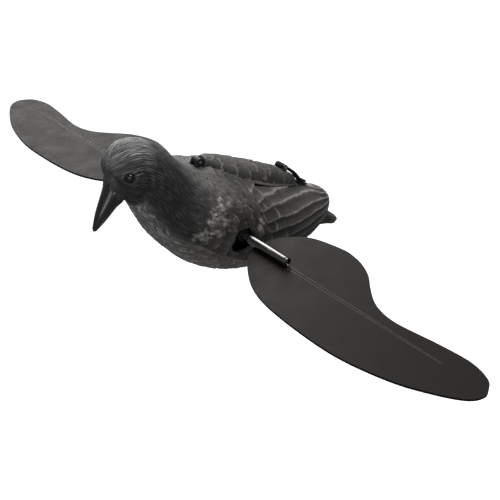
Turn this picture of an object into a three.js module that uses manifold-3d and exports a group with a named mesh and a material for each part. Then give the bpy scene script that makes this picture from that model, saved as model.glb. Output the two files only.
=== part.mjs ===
// Crow decoy with spinning wings: a hollow moulded bird on a stake, whose two flat wings turn on one
// motor-driven cross axle. Millimetres. The bird faces -Y, +X is its left side and +Z is up. The origin is
// the centre of the stake socket's mouth, under the belly.
import * as THREE from 'three';
import { mergeVertices } from 'three/addons/utils/BufferGeometryUtils.js';
import Module from 'manifold-3d';

const wasm = await Module();
wasm.setup();

// ---------------------------------------------------------------- driving dimensions

const WALL = 2.5;                    // moulded shell
const GAP = 0.35;                    // between pieces that touch
const SPLIT = 0.3;                   // parting gap between the two shell halves

const SPIN_Y = -50;                  // the wings' axle, which runs along X
const SPIN_Z = 85;
const AXLE_RADIUS = 3;
const AXLE_HALF_LENGTH = 127;

const BLADE_TOP_Z = 80;              // level wings, 5 mm under the axle
const BLADE_THICKNESS = 2.4;
const TUBE_START = 77;
const TUBE_END = 131;
const TUBE_RADIUS = 4.5;
const TUBE_BORE = 3.4;
const SPAR_RADIUS = 1.1;
const SPAR_DEPTH = 0.5;                // its axis under the blade's top face
const SPAR_START = 135;
const SPAR_END = 315;

const HINGE_Y = -52;                 // the lid's hinge pin
const HINGE_Z = 140;
const BACK_SLOPE = THREE.MathUtils.degToRad(29);
const HINGE_X = 3.4;                 // the hinge's middle, a little to the left side
const KNUCKLE_RADIUS = 4.2;
const KNUCKLE_HALF = 2.2;
const EAR = { near: 2.55, far: 4.6, radius: 4 };
const PIN_RADIUS = 1.5;

const LATCH_T = 126;                 // the strap's pivot, along the back and off it
const LATCH_N = 13.5;
const FOOT_T = 167;
const STRAP_HALF_WIDTH = 4;

const SOCKET_BORE = 8.5;             // takes a 16 mm stake
const SOCKET_RADIUS = 11.5;
const SOCKET_FLANGE = 17;
const SOCKET_TOP = 43;

const CELL_RADIUS = 7.25;            // AA cell
const CELL_LENGTH = 50.5;
const CELL_PITCH = 15.6;
const CELL_Z = 55.4;
const TRAY = { x: 33, front: -4, back: 56, bottom: 46, top: 62, wall: 1.8 };

const MOTOR_RADIUS = 18;
const MOTOR_HALF_LENGTH = 24;
const CRADLE_TOP = SPIN_Z - 7;

const WINDOW = { width: 20, height: 30, z: 78 };
const SWITCH_Y = 36;

// ---------------------------------------------------------------- outlines and stations

// Each body station is a slanting cross-section: the top point (y, z), the bottom point (y, z), the half
// width, how far the widest level sits above the middle, and the squareness of the upper and lower halves.
const BODY = [
  [137, 25, 134, 13, 5, 0, 2, 2],
  [127, 39, 117, 10, 18, 0, 2.1, 2],
  [101, 54, 89, 8, 38, 0.1, 2.1, 1.85],
  [69, 71, 58, 3, 55, 0.15, 2.1, 1.78],
  [36, 88, 23, 2, 67, 0.2, 2.1, 1.78],
  [4, 105, -9, 3, 73, 0.2, 2.1, 1.8],
  [-28, 122, -41, 12, 73, 0.2, 2.1, 1.8],
  [-53, 134, -72, 31, 67, 0.2, 2, 1.8],
  [-69, 142, -95, 56, 51, 0.1, 2, 1.9],
  [-79, 151, -111, 78, 40, 0, 2, 2],
  [-90, 165, -122, 100, 34.5, 0, 2, 2],
  [-107, 179, -130, 118, 29.5, 0, 2, 2],
  [-126, 185, -135, 130, 27, 0, 2, 2],
  [-144, 178, -139, 135, 22, 0, 2, 2],
  [-152, 166, -143, 140, 14, 0, 2, 2],
];

const TAIL = [
  [70, 46, 70, 18, 30, 0, 2, 2],
  [100, 31, 98, 8, 26, 0, 2.5, 2.5],
  [125, 17, 123, -2, 21, 0, 2.5, 2.5],
  [141, 3, 138, -10, 14, 0, 2.5, 2.5],
  [150, -5, 148, -12, 8, 0, 2.5, 2.5],
];

const BILL = [
  [-149, 165, -136, 134, 12.5, 0, 2, 2],
  [-156, 147, -149, 124, 9.5, 0, 2, 2],
  [-167, 126, -161, 114, 6, 0, 2, 2],
  [-173, 111, -170.5, 107.5, 2.5, 0, 2, 2],
];

// Lid stations in the back's own frame: distance behind the pin, rim level, crown level and half width.
const LID = [
  [8, -4.6, 4.5, 8],
  [16, -4.8, 6, 14],
  [25, -5.1, 7, 20],
  [36, -5.3, 7.6, 24],
  [50, -5.4, 8.5, 26],
  [63, -5.4, 9, 26],
  [92, -5.2, 10.3, 24.5],
  [110, -5, 10.5, 21],
  [125, -4.8, 10, 16.5],
  [140, -4.2, 8, 11],
  [150, -3.6, 5, 6.5],
  [157, -3.4, 1.5, 2.5],
];

// Wing outline from the root's front corner round the tip to the root's rear corner: distance out from the
// bird's middle, and distance behind the axle.
const WING = [
  [86, 1], [91, -11], [103, -25], [130, -43.5], [160, -53], [205, -57], [250, -56], [295, -46],
  [325, -33], [348, -18.5], [355.5, -6], [353, 4], [345, 13], [325, 19], [295, 17.5], [265, 13.5],
  [250, 12.3], [235, 14.2], [220, 20.4], [205, 32], [190, 45.5], [175, 54], [160, 58.5], [145, 59.3],
  [115, 52.5], [99, 40.5], [88, 22], [86, 9],
];

// ---------------------------------------------------------------- solids

function signedVolume(position, index) {
  const a = new THREE.Vector3();
  const b = new THREE.Vector3();
  const c = new THREE.Vector3();
  let sum = 0;
  for (let i = 0; i < index.length; i += 3) {
    a.fromBufferAttribute(position, index[i]);
    b.fromBufferAttribute(position, index[i + 1]);
    c.fromBufferAttribute(position, index[i + 2]);
    sum += a.dot(b.cross(c));
  }
  return sum / 6;
}

// A closed three.js geometry as a solid, with its faces turned outwards.
function solidOf(geometry) {
  const bare = geometry.clone();
  bare.deleteAttribute('normal');
  bare.deleteAttribute('uv');
  const merged = mergeVertices(bare, 1e-3);
  const triangles = [];
  const all = merged.index.array;
  for (let i = 0; i < all.length; i += 3) {
    const [a, b, c] = [all[i], all[i + 1], all[i + 2]];
    if (a !== b && b !== c && c !== a) {
      triangles.push(a, b, c);
    }
  }
  if (signedVolume(merged.attributes.position, triangles) < 0) {
    triangles.reverse();
  }
  return new wasm.Manifold(new wasm.Mesh({
    numProp: 3,
    vertProperties: new Float32Array(merged.attributes.position.array),
    triVerts: new Uint32Array(triangles),
  }));
}

function geometryOf(solid) {
  const mesh = solid.getMesh();
  const geometry = new THREE.BufferGeometry();
  geometry.setAttribute('position', new THREE.BufferAttribute(mesh.vertProperties, 3));
  geometry.setIndex(new THREE.BufferAttribute(mesh.triVerts, 1));
  geometry.computeVertexNormals();
  return geometry;
}

function boxSolid(low, high) {
  const size = high.map((value, axis) => value - low[axis]);
  const middle = high.map((value, axis) => (value + low[axis]) / 2);
  return solidOf(new THREE.BoxGeometry(...size).translate(...middle));
}

function rodSolid(radius, from, to, sides = 16) {
  const start = new THREE.Vector3(...from);
  const along = new THREE.Vector3(...to).sub(start);
  const length = along.length();
  const turn = new THREE.Quaternion().setFromUnitVectors(new THREE.Vector3(0, 1, 0), along.normalize());
  const geometry = new THREE.CylinderGeometry(radius, radius, length, sides).translate(0, length / 2, 0);
  return solidOf(geometry.applyQuaternion(turn).translate(...from));
}

function ballSolid(radius, centre) {
  const geometry = new THREE.SphereGeometry(radius, 14, 9);
  return solidOf(geometry.translate(...centre));
}

// A prism along X of a shape drawn in (y, z).
function prismX(shape, from, to, curveSegments = 12) {
  const geometry = new THREE.ExtrudeGeometry(shape, { depth: to - from, bevelEnabled: false, curveSegments });
  const axes = [new THREE.Vector3(0, 1, 0), new THREE.Vector3(0, 0, 1), new THREE.Vector3(1, 0, 0)];
  return solidOf(geometry.applyMatrix4(new THREE.Matrix4().makeBasis(...axes)).translate(from, 0, 0));
}

// A prism along Z of a shape drawn in (x, y).
function prismZ(shape, from, to) {
  const geometry = new THREE.ExtrudeGeometry(shape, { depth: to - from, bevelEnabled: false });
  return solidOf(geometry.translate(0, 0, from));
}

// A turned solid about the Z axis, from (radius, z) points.
function turned(profile, sides = 24) {
  const points = profile.map(([radius, z]) => new THREE.Vector2(radius, z));
  return solidOf(new THREE.LatheGeometry(points, sides).rotateX(Math.PI / 2));
}

function obround(y, z, width, height) {
  const radius = width / 2;
  const reach = height / 2 - radius;
  const shape = new THREE.Shape();
  shape.absarc(y, z + reach, radius, 0, Math.PI, false);
  shape.absarc(y, z - reach, radius, Math.PI, 2 * Math.PI, false);
  return shape;
}

function mirrored(solid) {
  return solid.mirror([1, 0, 0]);
}

// The back's own frame: x across, t down the back behind the hinge pin, n away from the back.
const BACK_FRAME = new THREE.Matrix4().makeBasis(
  new THREE.Vector3(1, 0, 0),
  new THREE.Vector3(0, Math.cos(BACK_SLOPE), -Math.sin(BACK_SLOPE)),
  new THREE.Vector3(0, Math.sin(BACK_SLOPE), Math.cos(BACK_SLOPE)),
).setPosition(0, HINGE_Y, HINGE_Z);

function onBack(solid) {
  return solid.transform(BACK_FRAME.elements);
}

// ---------------------------------------------------------------- lofts

function smoothed(stations, steps) {
  const curve = (a, b, c, d, t) => 0.5 * (2 * b + (c - a) * t + (2 * a - 5 * b + 4 * c - d) * t ** 2
    + (3 * b - a - 3 * c + d) * t ** 3);
  const beyond = (end, inner) => end.map((value, i) => 2 * value - inner[i]);
  const last = stations.length - 1;
  const padded = [
    beyond(stations[0], stations[1]),
    ...stations,
    beyond(stations[last], stations[last - 1]),
  ];
  const result = [];
  for (let i = 0; i < last; i += 1) {
    for (let step = 0; step < steps; step += 1) {
      const row = padded[i].map((a, k) => curve(a, padded[i + 1][k], padded[i + 2][k], padded[i + 3][k],
        step / steps));
      result.push(row);
    }
  }
  result.push(stations[last]);
  return result;
}

// A closed skin over rings of equal length.
function skinned(rings) {
  const sides = rings[0].length;
  const points = rings.flat();
  const middles = [rings[0], rings[rings.length - 1]].map((ring) => {
    const sum = new THREE.Vector3();
    ring.forEach((point) => sum.add(point));
    return sum.divideScalar(sides);
  });
  const first = points.length;
  const index = [];
  for (let row = 0; row < rings.length - 1; row += 1) {
    for (let side = 0; side < sides; side += 1) {
      const next = (side + 1) % sides;
      const [a, b] = [row * sides + side, row * sides + next];
      const [c, d] = [a + sides, b + sides];
      index.push(a, b, d, a, d, c);
    }
  }
  const top = (rings.length - 1) * sides;
  for (let side = 0; side < sides; side += 1) {
    const next = (side + 1) % sides;
    index.push(first, next, side, first + 1, top + side, top + next);
  }
  const geometry = new THREE.BufferGeometry().setFromPoints([...points, ...middles]);
  geometry.setIndex(index);
  return solidOf(geometry);
}

const power = (value, squareness) => Math.sign(value) * Math.abs(value) ** (2 / squareness);

// One station's ring, grown outwards (or shrunk, when grow is negative).
function bodyRing([topY, topZ, bottomY, bottomZ, halfWidth, lift, upper, lower], grow, sides) {
  const middle = new THREE.Vector3(0, (topY + bottomY) / 2, (topZ + bottomZ) / 2);
  const up = new THREE.Vector3(0, (topY - bottomY) / 2, (topZ - bottomZ) / 2);
  up.setLength(up.length() + grow);
  const ring = [];
  for (let side = 0; side < sides; side += 1) {
    const angle = 2 * Math.PI * side / sides;
    const squareness = Math.sin(angle) >= 0 ? upper : lower;
    const rise = power(Math.sin(angle), squareness);
    const across = power(Math.cos(angle), squareness);
    const point = middle.clone().addScaledVector(up, rise + lift * (1 - rise * rise));
    point.x = across * (halfWidth + grow);
    ring.push(point);
  }
  return ring;
}

function bodyLoft(stations, grow = 0, steps = 2, sides = 20) {
  return skinned(smoothed(stations, steps).map((station) => bodyRing(station, grow, sides)));
}

// A domed cover over the lid's stations, thinner by inset and reaching drop below its rim.
function lidDome(stations, inset, drop) {
  const sides = 10;
  const rings = smoothed(stations, 1).map(([t, rim, crown, halfWidth]) => {
    const ring = [];
    for (let side = 0; side <= sides; side += 1) {
      const angle = Math.PI * side / sides;
      const across = power(Math.cos(angle), 2.3) * (halfWidth - inset);
      const rise = power(Math.sin(angle), 2.3) * (crown - inset - rim);
      ring.push(new THREE.Vector3(across, t, rim + rise));
    }
    ring.push(new THREE.Vector3(inset - halfWidth, t, rim - drop));
    ring.push(new THREE.Vector3(halfWidth - inset, t, rim - drop));
    return ring;
  });
  return skinned(rings);
}

// The lid's plan outline, grown outwards, as a prism between two levels over the back.
function lidPlan(grow, low, high, from = 0) {
  const end = LID[LID.length - 1][0] + grow;
  const edge = LID.slice(from)
    .filter(([t, , , halfWidth]) => halfWidth + grow > 2.5 && t < end)
    .map(([t, , , halfWidth]) => new THREE.Vector2(halfWidth + grow, t));
  edge.push(new THREE.Vector2(2, end));
  const otherEdge = edge.map(({ x, y }) => new THREE.Vector2(-x, y)).reverse();
  return prismZ(new THREE.Shape([...edge, ...otherEdge]), low, high);
}

// ---------------------------------------------------------------- materials

function material(colour, roughness, metalness = 0) {
  return new THREE.MeshStandardMaterial({ color: colour, roughness, metalness });
}

const PLUMAGE = material(0x3d3936, 0.75);
const BILL_BLACK = material(0x1c1f24, 0.25);
const EYE_BLACK = material(0x0b0b0c, 0.08);
const BLACK_PLASTIC = material(0x141414, 0.5);
const RUBBER = material(0x101010, 0.8);
const STEEL = material(0xb4b4b2, 0.25, 1);
const DARK_STEEL = material(0x77767a, 0.3, 1);
const MOTOR_STEEL = material(0x9a9a98, 0.4, 1);
const WING_PLASTIC = material(0x524d49, 0.7);
const TRAY_PLASTIC = material(0x202020, 0.55);
const CELL_WRAP = material(0x2b5a3c, 0.4);
const WIRE_RED = material(0x9a1c17, 0.5);
const WIRE_BLACK = material(0x161616, 0.5);

function piece(name, solid, look) {
  const mesh = new THREE.Mesh(geometryOf(solid), look);
  mesh.name = name;
  return mesh;
}

// ---------------------------------------------------------------- shell, bill and eyes

const OUTSIDE = bodyLoft(BODY);
const CLEAR_OF_BODY = bodyLoft(BODY, GAP);
const INSIDE = bodyLoft(BODY.slice(1, -1), -WALL);
const IN_WALL = bodyLoft(BODY, -1);

const EYE = { x: 19, y: -140.5, z: 161, radius: 5.5 };

// The four screws that close the shell: place on the side (y, z) and where the head seats.
const SHELL_SCREWS = [
  { y: -88, z: 75, seat: -40 },
  { y: -115, z: 150, seat: -21 },
  { y: 90, z: 25, seat: -30 },
  { y: 62, z: 16, seat: -28 },
];
const SCREW_RADIUS = 1.6;
const SCREW_HEAD = 3.3;
const SCREW_END = 12;

function shellFittings() {
  const pillars = SHELL_SCREWS.map(({ y, z }) => rodSolid(5.5, [-90, y, z], [90, y, z], 8));
  const ribs = [
    boxSolid([-26, -76, 0], [26, -73, 57.6]),
    boxSolid([-26, -27, 0], [26, -24, 57.6]),
    boxSolid([-26, 16, 0], [26, 19, TRAY.bottom - GAP]),
    boxSolid([-26, 52, 0], [26, 55, TRAY.bottom - GAP]),
  ];
  const eyeSeats = [-1, 1].map((side) => ballSolid(EYE.radius + 2.5, [side * EYE.x, EYE.y, EYE.z]));
  const hatchLedge = onBack(lidPlan(6, -13, 0, 1));
  return [...pillars, ...ribs, ...eyeSeats, hatchLedge].map((solid) => solid.intersect(IN_WALL));
}

function shellCuts() {
  const window = prismX(obround(SPIN_Y, WINDOW.z, WINDOW.width, WINDOW.height), 40, 90, 6);
  const screws = SHELL_SCREWS.flatMap(({ y, z, seat }) => [
    rodSolid(SCREW_HEAD + 0.5, [-90, y, z], [seat, y, z], 12),
    rodSolid(SCREW_RADIUS + GAP, [seat - 1, y, z], [SCREW_END + 1, y, z], 8),
  ]);
  const hingeSlots = [-1, 1].map((side) => onBack(boxSolid(
    [HINGE_X + Math.min(side * EAR.near, side * EAR.far) - 0.4, -4.4, -14],
    [HINGE_X + Math.max(side * EAR.near, side * EAR.far) + 0.4, 4.4, 0],
  )));
  return [
    window,
    mirrored(window),
    ...screws,
    ...hingeSlots,
    ballSolid(EYE.radius + GAP, [EYE.x, EYE.y, EYE.z]),
    ballSolid(EYE.radius + GAP, [-EYE.x, EYE.y, EYE.z]),
    onBack(lidPlan(3.5, -9.5, 12, 4)),
    onBack(lidPlan(-6, -40, 12, 2)),
    onBack(rodSolid(SCREW_RADIUS + GAP, [0, FOOT_T, -12], [0, FOOT_T, 2], 10)),
    rodSolid(SOCKET_RADIUS + GAP, [0, 0, -5], [0, 0, SOCKET_TOP], 24),
    boxSolid([-7.4, SWITCH_Y - 10.4, -5], [7.4, SWITCH_Y + 10.4, 17]),
    rodSolid(6 + GAP, [0, -151, 152], [0, -128, 148], 12),
  ];
}

function wholeShell() {
  const hollow = OUTSIDE.add(bodyLoft(TAIL, 0, 1, 14)).subtract(INSIDE);
  const fitted = shellFittings().reduce((sum, solid) => sum.add(solid), hollow);
  return shellCuts().reduce((rest, solid) => rest.subtract(solid), fitted);
}

function shellHalves() {
  const shell = wholeShell();
  const left = shell.intersect(boxSolid([SPLIT / 2, -200, -50], [120, 200, 250]));
  const right = shell.intersect(boxSolid([-120, -200, -50], [-SPLIT / 2, 200, 250]));
  return [piece('body_shell_left', left, PLUMAGE), piece('body_shell_right', right, PLUMAGE)];
}

function billPiece() {
  const spigot = rodSolid(6, [0, -146, 151], [0, -130, 148.4], 12);
  const horn = bodyLoft(BILL, 0, 2, 16).subtract(CLEAR_OF_BODY);
  return piece('bill', horn.add(spigot), BILL_BLACK);
}

function eyePieces() {
  const bead = ballSolid(EYE.radius, [0, 0, 0]);
  return [['eye_left', 1], ['eye_right', -1]].map(([name, side]) => {
    const eye = piece(name, bead, EYE_BLACK);
    eye.position.set(side * EYE.x, EYE.y, EYE.z);
    return eye;
  });
}

function shellScrewPieces() {
  return SHELL_SCREWS.map(({ y, z, seat }, number) => {
    const head = rodSolid(SCREW_HEAD, [seat - 2.6, 0, 0], [seat - GAP, 0, 0], 12);
    const shank = rodSolid(SCREW_RADIUS, [seat - 1, 0, 0], [SCREW_END, 0, 0], 8);
    const screw = piece(`shell_screw_${number + 1}`, head.add(shank), DARK_STEEL);
    screw.position.set(0, y, z);
    return screw;
  });
}

// ---------------------------------------------------------------- stake socket and switch

function stakeSocket() {
  const flange = rodSolid(SOCKET_FLANGE, [0, 0, 0], [0, 0, 8], 24).subtract(CLEAR_OF_BODY);
  const sleeve = rodSolid(SOCKET_RADIUS, [0, 0, 0], [0, 0, SOCKET_TOP - GAP], 24);
  const bore = rodSolid(SOCKET_BORE, [0, 0, -1], [0, 0, SOCKET_TOP - 4], 24);
  return piece('stake_socket', flange.add(sleeve).subtract(bore), BLACK_PLASTIC);
}

const ROCKER = { z: 2.6, radius: 3.4, halfLength: 6.6, halfWidth: 3.6, tilt: THREE.MathUtils.degToRad(10) };

function switchHousing() {
  const bezel = boxSolid([-9, SWITCH_Y - 12, -1.4], [9, SWITCH_Y + 12, 6]).subtract(CLEAR_OF_BODY);
  const block = boxSolid([-7, SWITCH_Y - 10, -1.4], [7, SWITCH_Y + 10, 16]);
  const pocket = boxSolid([-4.1, SWITCH_Y - 7.6, -3], [4.1, SWITCH_Y + 7.6, 7]);
  return piece('switch_housing', bezel.add(block).subtract(pocket), BLACK_PLASTIC);
}

function switchRocker() {
  const { z, radius, halfLength, halfWidth, tilt } = ROCKER;
  const face = new THREE.Shape();
  face.moveTo(-halfLength, -3.2);
  face.lineTo(0, -4.6);
  face.lineTo(halfLength, -3.2);
  face.lineTo(halfLength - 1, 0);
  face.absarc(0, 0, radius, 0, Math.PI, false);
  face.lineTo(1 - halfLength, 0);
  const rocker = piece('switch_rocker', prismX(face, -halfWidth, halfWidth, 8), BLACK_PLASTIC);
  rocker.position.set(0, SWITCH_Y, z);
  rocker.rotation.x = -tilt;
  return rocker;
}

// ---------------------------------------------------------------- batteries and wiring

const CELL_MIDDLE = (TRAY.front + TRAY.back) / 2;

function batteryTray() {
  const { x, front, back, bottom, top, wall } = TRAY;
  const block = boxSolid([-x, front, bottom], [x, back, top]);
  const room = boxSolid([wall - x, front + wall, bottom + wall], [x - wall, back - wall, top + 5]);
  return piece('battery_tray', block.subtract(room), TRAY_PLASTIC);
}

function batteryCells() {
  const nub = 2.75;
  const shoulder = CELL_LENGTH - 1.5;
  const cell = turned([
    [0, 0], [CELL_RADIUS, 0], [CELL_RADIUS, shoulder], [nub, shoulder], [nub, CELL_LENGTH], [0, CELL_LENGTH],
  ], 16);
  return [0, 1, 2, 3].map((number) => {
    const battery = piece(`battery_cell_${number + 1}`, cell, CELL_WRAP);
    const forward = number % 2 === 0 ? 1 : -1;
    battery.rotation.x = forward * Math.PI / 2;
    battery.position.set((number - 1.5) * CELL_PITCH, CELL_MIDDLE + forward * CELL_LENGTH / 2, CELL_Z);
    return battery;
  });
}

function batteryContacts() {
  const { x, front, back, bottom, top, wall } = TRAY;
  return [['battery_contact_front', front + wall, 1], ['battery_contact_rear', back - wall, -1]].map(
    ([name, face, inward]) => {
      const near = face + inward * GAP;
      const far = near + inward * 0.7;
      const edges = [near, far].sort((a, b) => a - b);
      const half = x - wall - 1;
      const plate = boxSolid([-half, edges[0], bottom + wall + GAP], [half, edges[1], top - 2]);
      return piece(name, plate, STEEL);
    },
  );
}

function wirePiece(name, route, look) {
  const radius = 0.8;
  const section = new THREE.Shape();
  for (let side = 0; side < 8; side += 1) {
    const angle = Math.PI * side / 4;
    const point = [radius * Math.cos(angle), radius * Math.sin(angle)];
    if (side === 0) {
      section.moveTo(...point);
    } else {
      section.lineTo(...point);
    }
  }
  const extrudePath = new THREE.CatmullRomCurve3(route.map((point) => new THREE.Vector3(...point)));
  return piece(name, solidOf(new THREE.ExtrudeGeometry(section, { extrudePath, steps: 14 })), look);
}

function wiring() {
  return [
    wirePiece('wire_battery_to_switch', [
      [29, 57.2, 52], [33, 59, 42], [33, 53, 26], [24, 45, 20], [12, 40, 18.6], [3, 38, 17.4],
    ], WIRE_RED),
    wirePiece('wire_switch_to_motor', [
      [-3, 34, 17.4], [-18, 31, 19], [-34, 18, 26], [-39, -4, 40], [-34, -20, 60], [-26, -27, 76],
      [-18, -29, 84], [-12, -31.4, 86],
    ], WIRE_RED),
    wirePiece('wire_battery_to_motor', [
      [29, -5.2, 54], [31, -14, 60], [28, -24, 74], [20, -28, 83], [12, -31.4, 86],
    ], WIRE_BLACK),
  ];
}

// ---------------------------------------------------------------- motor and axle

function motorPieces() {
  const bore = rodSolid(AXLE_RADIUS + 0.5, [-60, 0, 0], [60, 0, 0]);
  const can = rodSolid(MOTOR_RADIUS, [-MOTOR_HALF_LENGTH, 0, 0], [MOTOR_HALF_LENGTH, 0, 0], 20);
  const inner = MOTOR_HALF_LENGTH + GAP;
  const cap = rodSolid(MOTOR_RADIUS - 0.5, [inner, 0, 0], [inner + 6, 0, 0], 20)
    .add(rodSolid(7, [inner, 0, 0], [inner + 12, 0, 0], 14)).subtract(bore);
  const pieces = [
    piece('motor_case', can.subtract(bore), MOTOR_STEEL),
    piece('motor_end_cap_left', cap, BLACK_PLASTIC),
    piece('motor_end_cap_right', mirrored(cap), BLACK_PLASTIC),
  ];
  pieces.forEach((mesh) => mesh.position.set(0, SPIN_Y, SPIN_Z));
  return pieces;
}

const STRAP_SCREW_Y = [SPIN_Y - 24.5, SPIN_Y + 24.5];

function motorMount() {
  const seat = rodSolid(MOTOR_RADIUS + GAP, [-40, SPIN_Y, SPIN_Z], [40, SPIN_Y, SPIN_Z], 20);
  const holes = STRAP_SCREW_Y.map(
    (y) => rodSolid(SCREW_RADIUS + GAP, [0, y, CRADLE_TOP - 9], [0, y, 99], 12),
  );
  const block = boxSolid([-20, SPIN_Y - 30, 58], [20, SPIN_Y + 30, CRADLE_TOP]);
  const cradle = holes.reduce((rest, hole) => rest.subtract(hole), block.subtract(seat));

  const low = CRADLE_TOP + GAP;
  const band = rodSolid(MOTOR_RADIUS + 2.4, [-6, SPIN_Y, SPIN_Z], [6, SPIN_Y, SPIN_Z], 20)
    .intersect(boxSolid([-6, SPIN_Y - 30, low], [6, SPIN_Y + 30, SPIN_Z + 30]));
  const feet = boxSolid([-6, SPIN_Y - 29, low], [6, SPIN_Y + 29, low + 2]);
  const strap = holes.reduce((rest, hole) => rest.subtract(hole), band.add(feet).subtract(seat));

  const screw = turned([
    [0, -8], [SCREW_RADIUS, -8], [SCREW_RADIUS, 0], [SCREW_HEAD, 0], [SCREW_HEAD, 1.8], [0, 1.8],
  ], 10);
  const screws = STRAP_SCREW_Y.map((y, number) => {
    const mesh = piece(`motor_strap_screw_${number + 1}`, screw, DARK_STEEL);
    mesh.position.set(0, y, low + 2 + GAP);
    return mesh;
  });
  return [piece('motor_cradle', cradle, BLACK_PLASTIC), piece('motor_strap', strap, STEEL), ...screws];
}

function grommets() {
  const plate = prismX(obround(SPIN_Y, WINDOW.z, WINDOW.width + 5, WINDOW.height + 5), 50, 53, 6);
  const sleeve = rodSolid(6.4, [51, SPIN_Y, SPIN_Z], [70, SPIN_Y, SPIN_Z]);
  const bore = rodSolid(AXLE_RADIUS + GAP, [50, SPIN_Y, SPIN_Z], [80, SPIN_Y, SPIN_Z]);
  const grommet = plate.add(sleeve).subtract(bore);
  return [
    piece('axle_grommet_left', grommet, RUBBER),
    piece('axle_grommet_right', mirrored(grommet), RUBBER),
  ];
}

function drivePieces() {
  const rod = rodSolid(AXLE_RADIUS, [-AXLE_HALF_LENGTH, 0, 0], [AXLE_HALF_LENGTH, 0, 0]);
  const collar = rodSolid(6, [41, 0, 0], [47, 0, 0])
    .subtract(rodSolid(AXLE_RADIUS + GAP, [40, 0, 0], [55, 0, 0]));
  const pieces = [
    piece('wing_axle', rod, STEEL),
    piece('axle_collar_left', collar, DARK_STEEL),
    piece('axle_collar_right', mirrored(collar), DARK_STEEL),
  ];
  pieces.forEach((mesh) => mesh.position.set(0, SPIN_Y, SPIN_Z));
  return pieces;
}

// ---------------------------------------------------------------- wings

const RIVETS = [97, 121];
const RIVET_RADIUS = 1.5;

function wingBlade() {
  const curve = new THREE.SplineCurve([...WING, WING[0]].map(([x, y]) => new THREE.Vector2(x, y)));
  const outline = new THREE.Shape(curve.getPoints(56).slice(0, -1));
  const sheet = prismZ(outline, -BLADE_THICKNESS, 0);
  const side = SPAR_RADIUS + GAP;
  const groove = boxSolid([SPAR_START - 0.6, -side, -SPAR_DEPTH - side], [SPAR_END + 0.6, side, 1]);
  return RIVETS.reduce(
    (rest, x) => rest.subtract(rodSolid(RIVET_RADIUS + GAP, [x, 0, -6], [x, 0, 2], 12)),
    sheet.subtract(groove),
  );
}

// A steel tube rolled from strip: its seam stays open as a narrow slot.
function wingTube() {
  const seam = 1.05;
  const slot = 0.13;
  const ring = new THREE.Shape();
  ring.absarc(0, 0, TUBE_RADIUS, seam + slot, seam - slot + 2 * Math.PI, false);
  ring.absarc(0, 0, TUBE_BORE, seam - slot + 2 * Math.PI, seam + slot, true);
  const lift = SPIN_Z - BLADE_TOP_Z;
  const tube = prismX(ring, TUBE_START, TUBE_END, 9).translate([0, 0, lift]);
  return RIVETS.reduce(
    (rest, x) => rest.subtract(rodSolid(RIVET_RADIUS + GAP, [x, 0, -2], [x, 0, 2.5], 12)),
    tube,
  );
}

// A wing's pieces lie in the wing's own frame, on the blade's top face and the axle's line.
function wing(side, turn) {
  const under = -BLADE_THICKNESS - GAP;
  const rivet = turned([
    [0, under - 1.4], [3, under - 1.4], [3, under], [RIVET_RADIUS, under], [RIVET_RADIUS, 1.5], [0, 1.5],
  ], 10);
  const spar = rodSolid(SPAR_RADIUS, [SPAR_START, 0, -SPAR_DEPTH], [SPAR_END, 0, -SPAR_DEPTH], 14);
  const solids = [
    ['blade', wingBlade(), WING_PLASTIC],
    ['tube', wingTube(), DARK_STEEL],
    ['spar', spar, DARK_STEEL],
    ...RIVETS.map((x, number) => [`rivet_${number + 1}`, rivet.translate([x, 0, 0]), DARK_STEEL]),
  ];
  const group = new THREE.Group();
  solids.forEach(([name, solid, look]) => group.add(piece(`${side}_wing_${name}`, turn(solid), look)));
  group.position.set(0, SPIN_Y, BLADE_TOP_Z);
  return group;
}

// ---------------------------------------------------------------- lid, hinge and latch

function batteryLid() {
  const cover = lidDome(LID, 0, 0.8).subtract(lidDome(LID.slice(1, -1), WALL, 6));
  const left = HINGE_X + KNUCKLE_HALF;
  const right = HINGE_X - KNUCKLE_HALF;
  const tongue = boxSolid([right, 1, -2], [left, 13, 3.4]);
  const knuckle = rodSolid(KNUCKLE_RADIUS, [right, 0, 0], [left, 0, 0]);
  const pinHole = rodSolid(PIN_RADIUS + GAP, [-20, 0, 0], [20, 0, 0], 16);
  const ears = [-1, 1].map((side) => {
    const middle = side * (STRAP_HALF_WIDTH + 1.9);
    const foot = boxSolid([middle - 1.2, LATCH_T - 3, 7], [middle + 1.2, LATCH_T + 3, LATCH_N]);
    return foot.add(rodSolid(3, [middle - 1.2, LATCH_T, LATCH_N], [middle + 1.2, LATCH_T, LATCH_N], 16));
  });
  const latchHole = rodSolid(PIN_RADIUS + GAP, [-20, LATCH_T, LATCH_N], [20, LATCH_T, LATCH_N], 16);
  const solid = ears.reduce((sum, ear) => sum.add(ear), cover.add(tongue).add(knuckle));
  const drilled = onBack(solid.subtract(pinHole).subtract(latchHole));
  return piece('battery_lid', drilled.subtract(CLEAR_OF_BODY), PLUMAGE);
}

function pinPiece(name, x, t, n, halfLength) {
  return piece(name, onBack(rodSolid(PIN_RADIUS, [x - halfLength, t, n], [x + halfLength, t, n], 16)), STEEL);
}

// Two ears round the lid's knuckle, standing through the shell from a plate under it.
function hingeBracket() {
  const ears = [-1, 1].map((side) => {
    const low = HINGE_X + Math.min(side * EAR.near, side * EAR.far);
    const high = HINGE_X + Math.max(side * EAR.near, side * EAR.far);
    return boxSolid([low, -4, -11], [high, 4, 0]).add(rodSolid(EAR.radius, [low, 0, 0], [high, 0, 0]));
  });
  const plate = boxSolid([-11, -8, -13], [11, 8, -10.6]);
  const pinHole = rodSolid(PIN_RADIUS + GAP, [-20, 0, 0], [20, 0, 0], 16);
  const solid = ears.reduce((sum, ear) => sum.add(ear), plate).subtract(pinHole);
  return piece('hinge_bracket', onBack(solid), BLACK_PLASTIC);
}

const STUD = { radius: 2, top: 4.6 };

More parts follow.
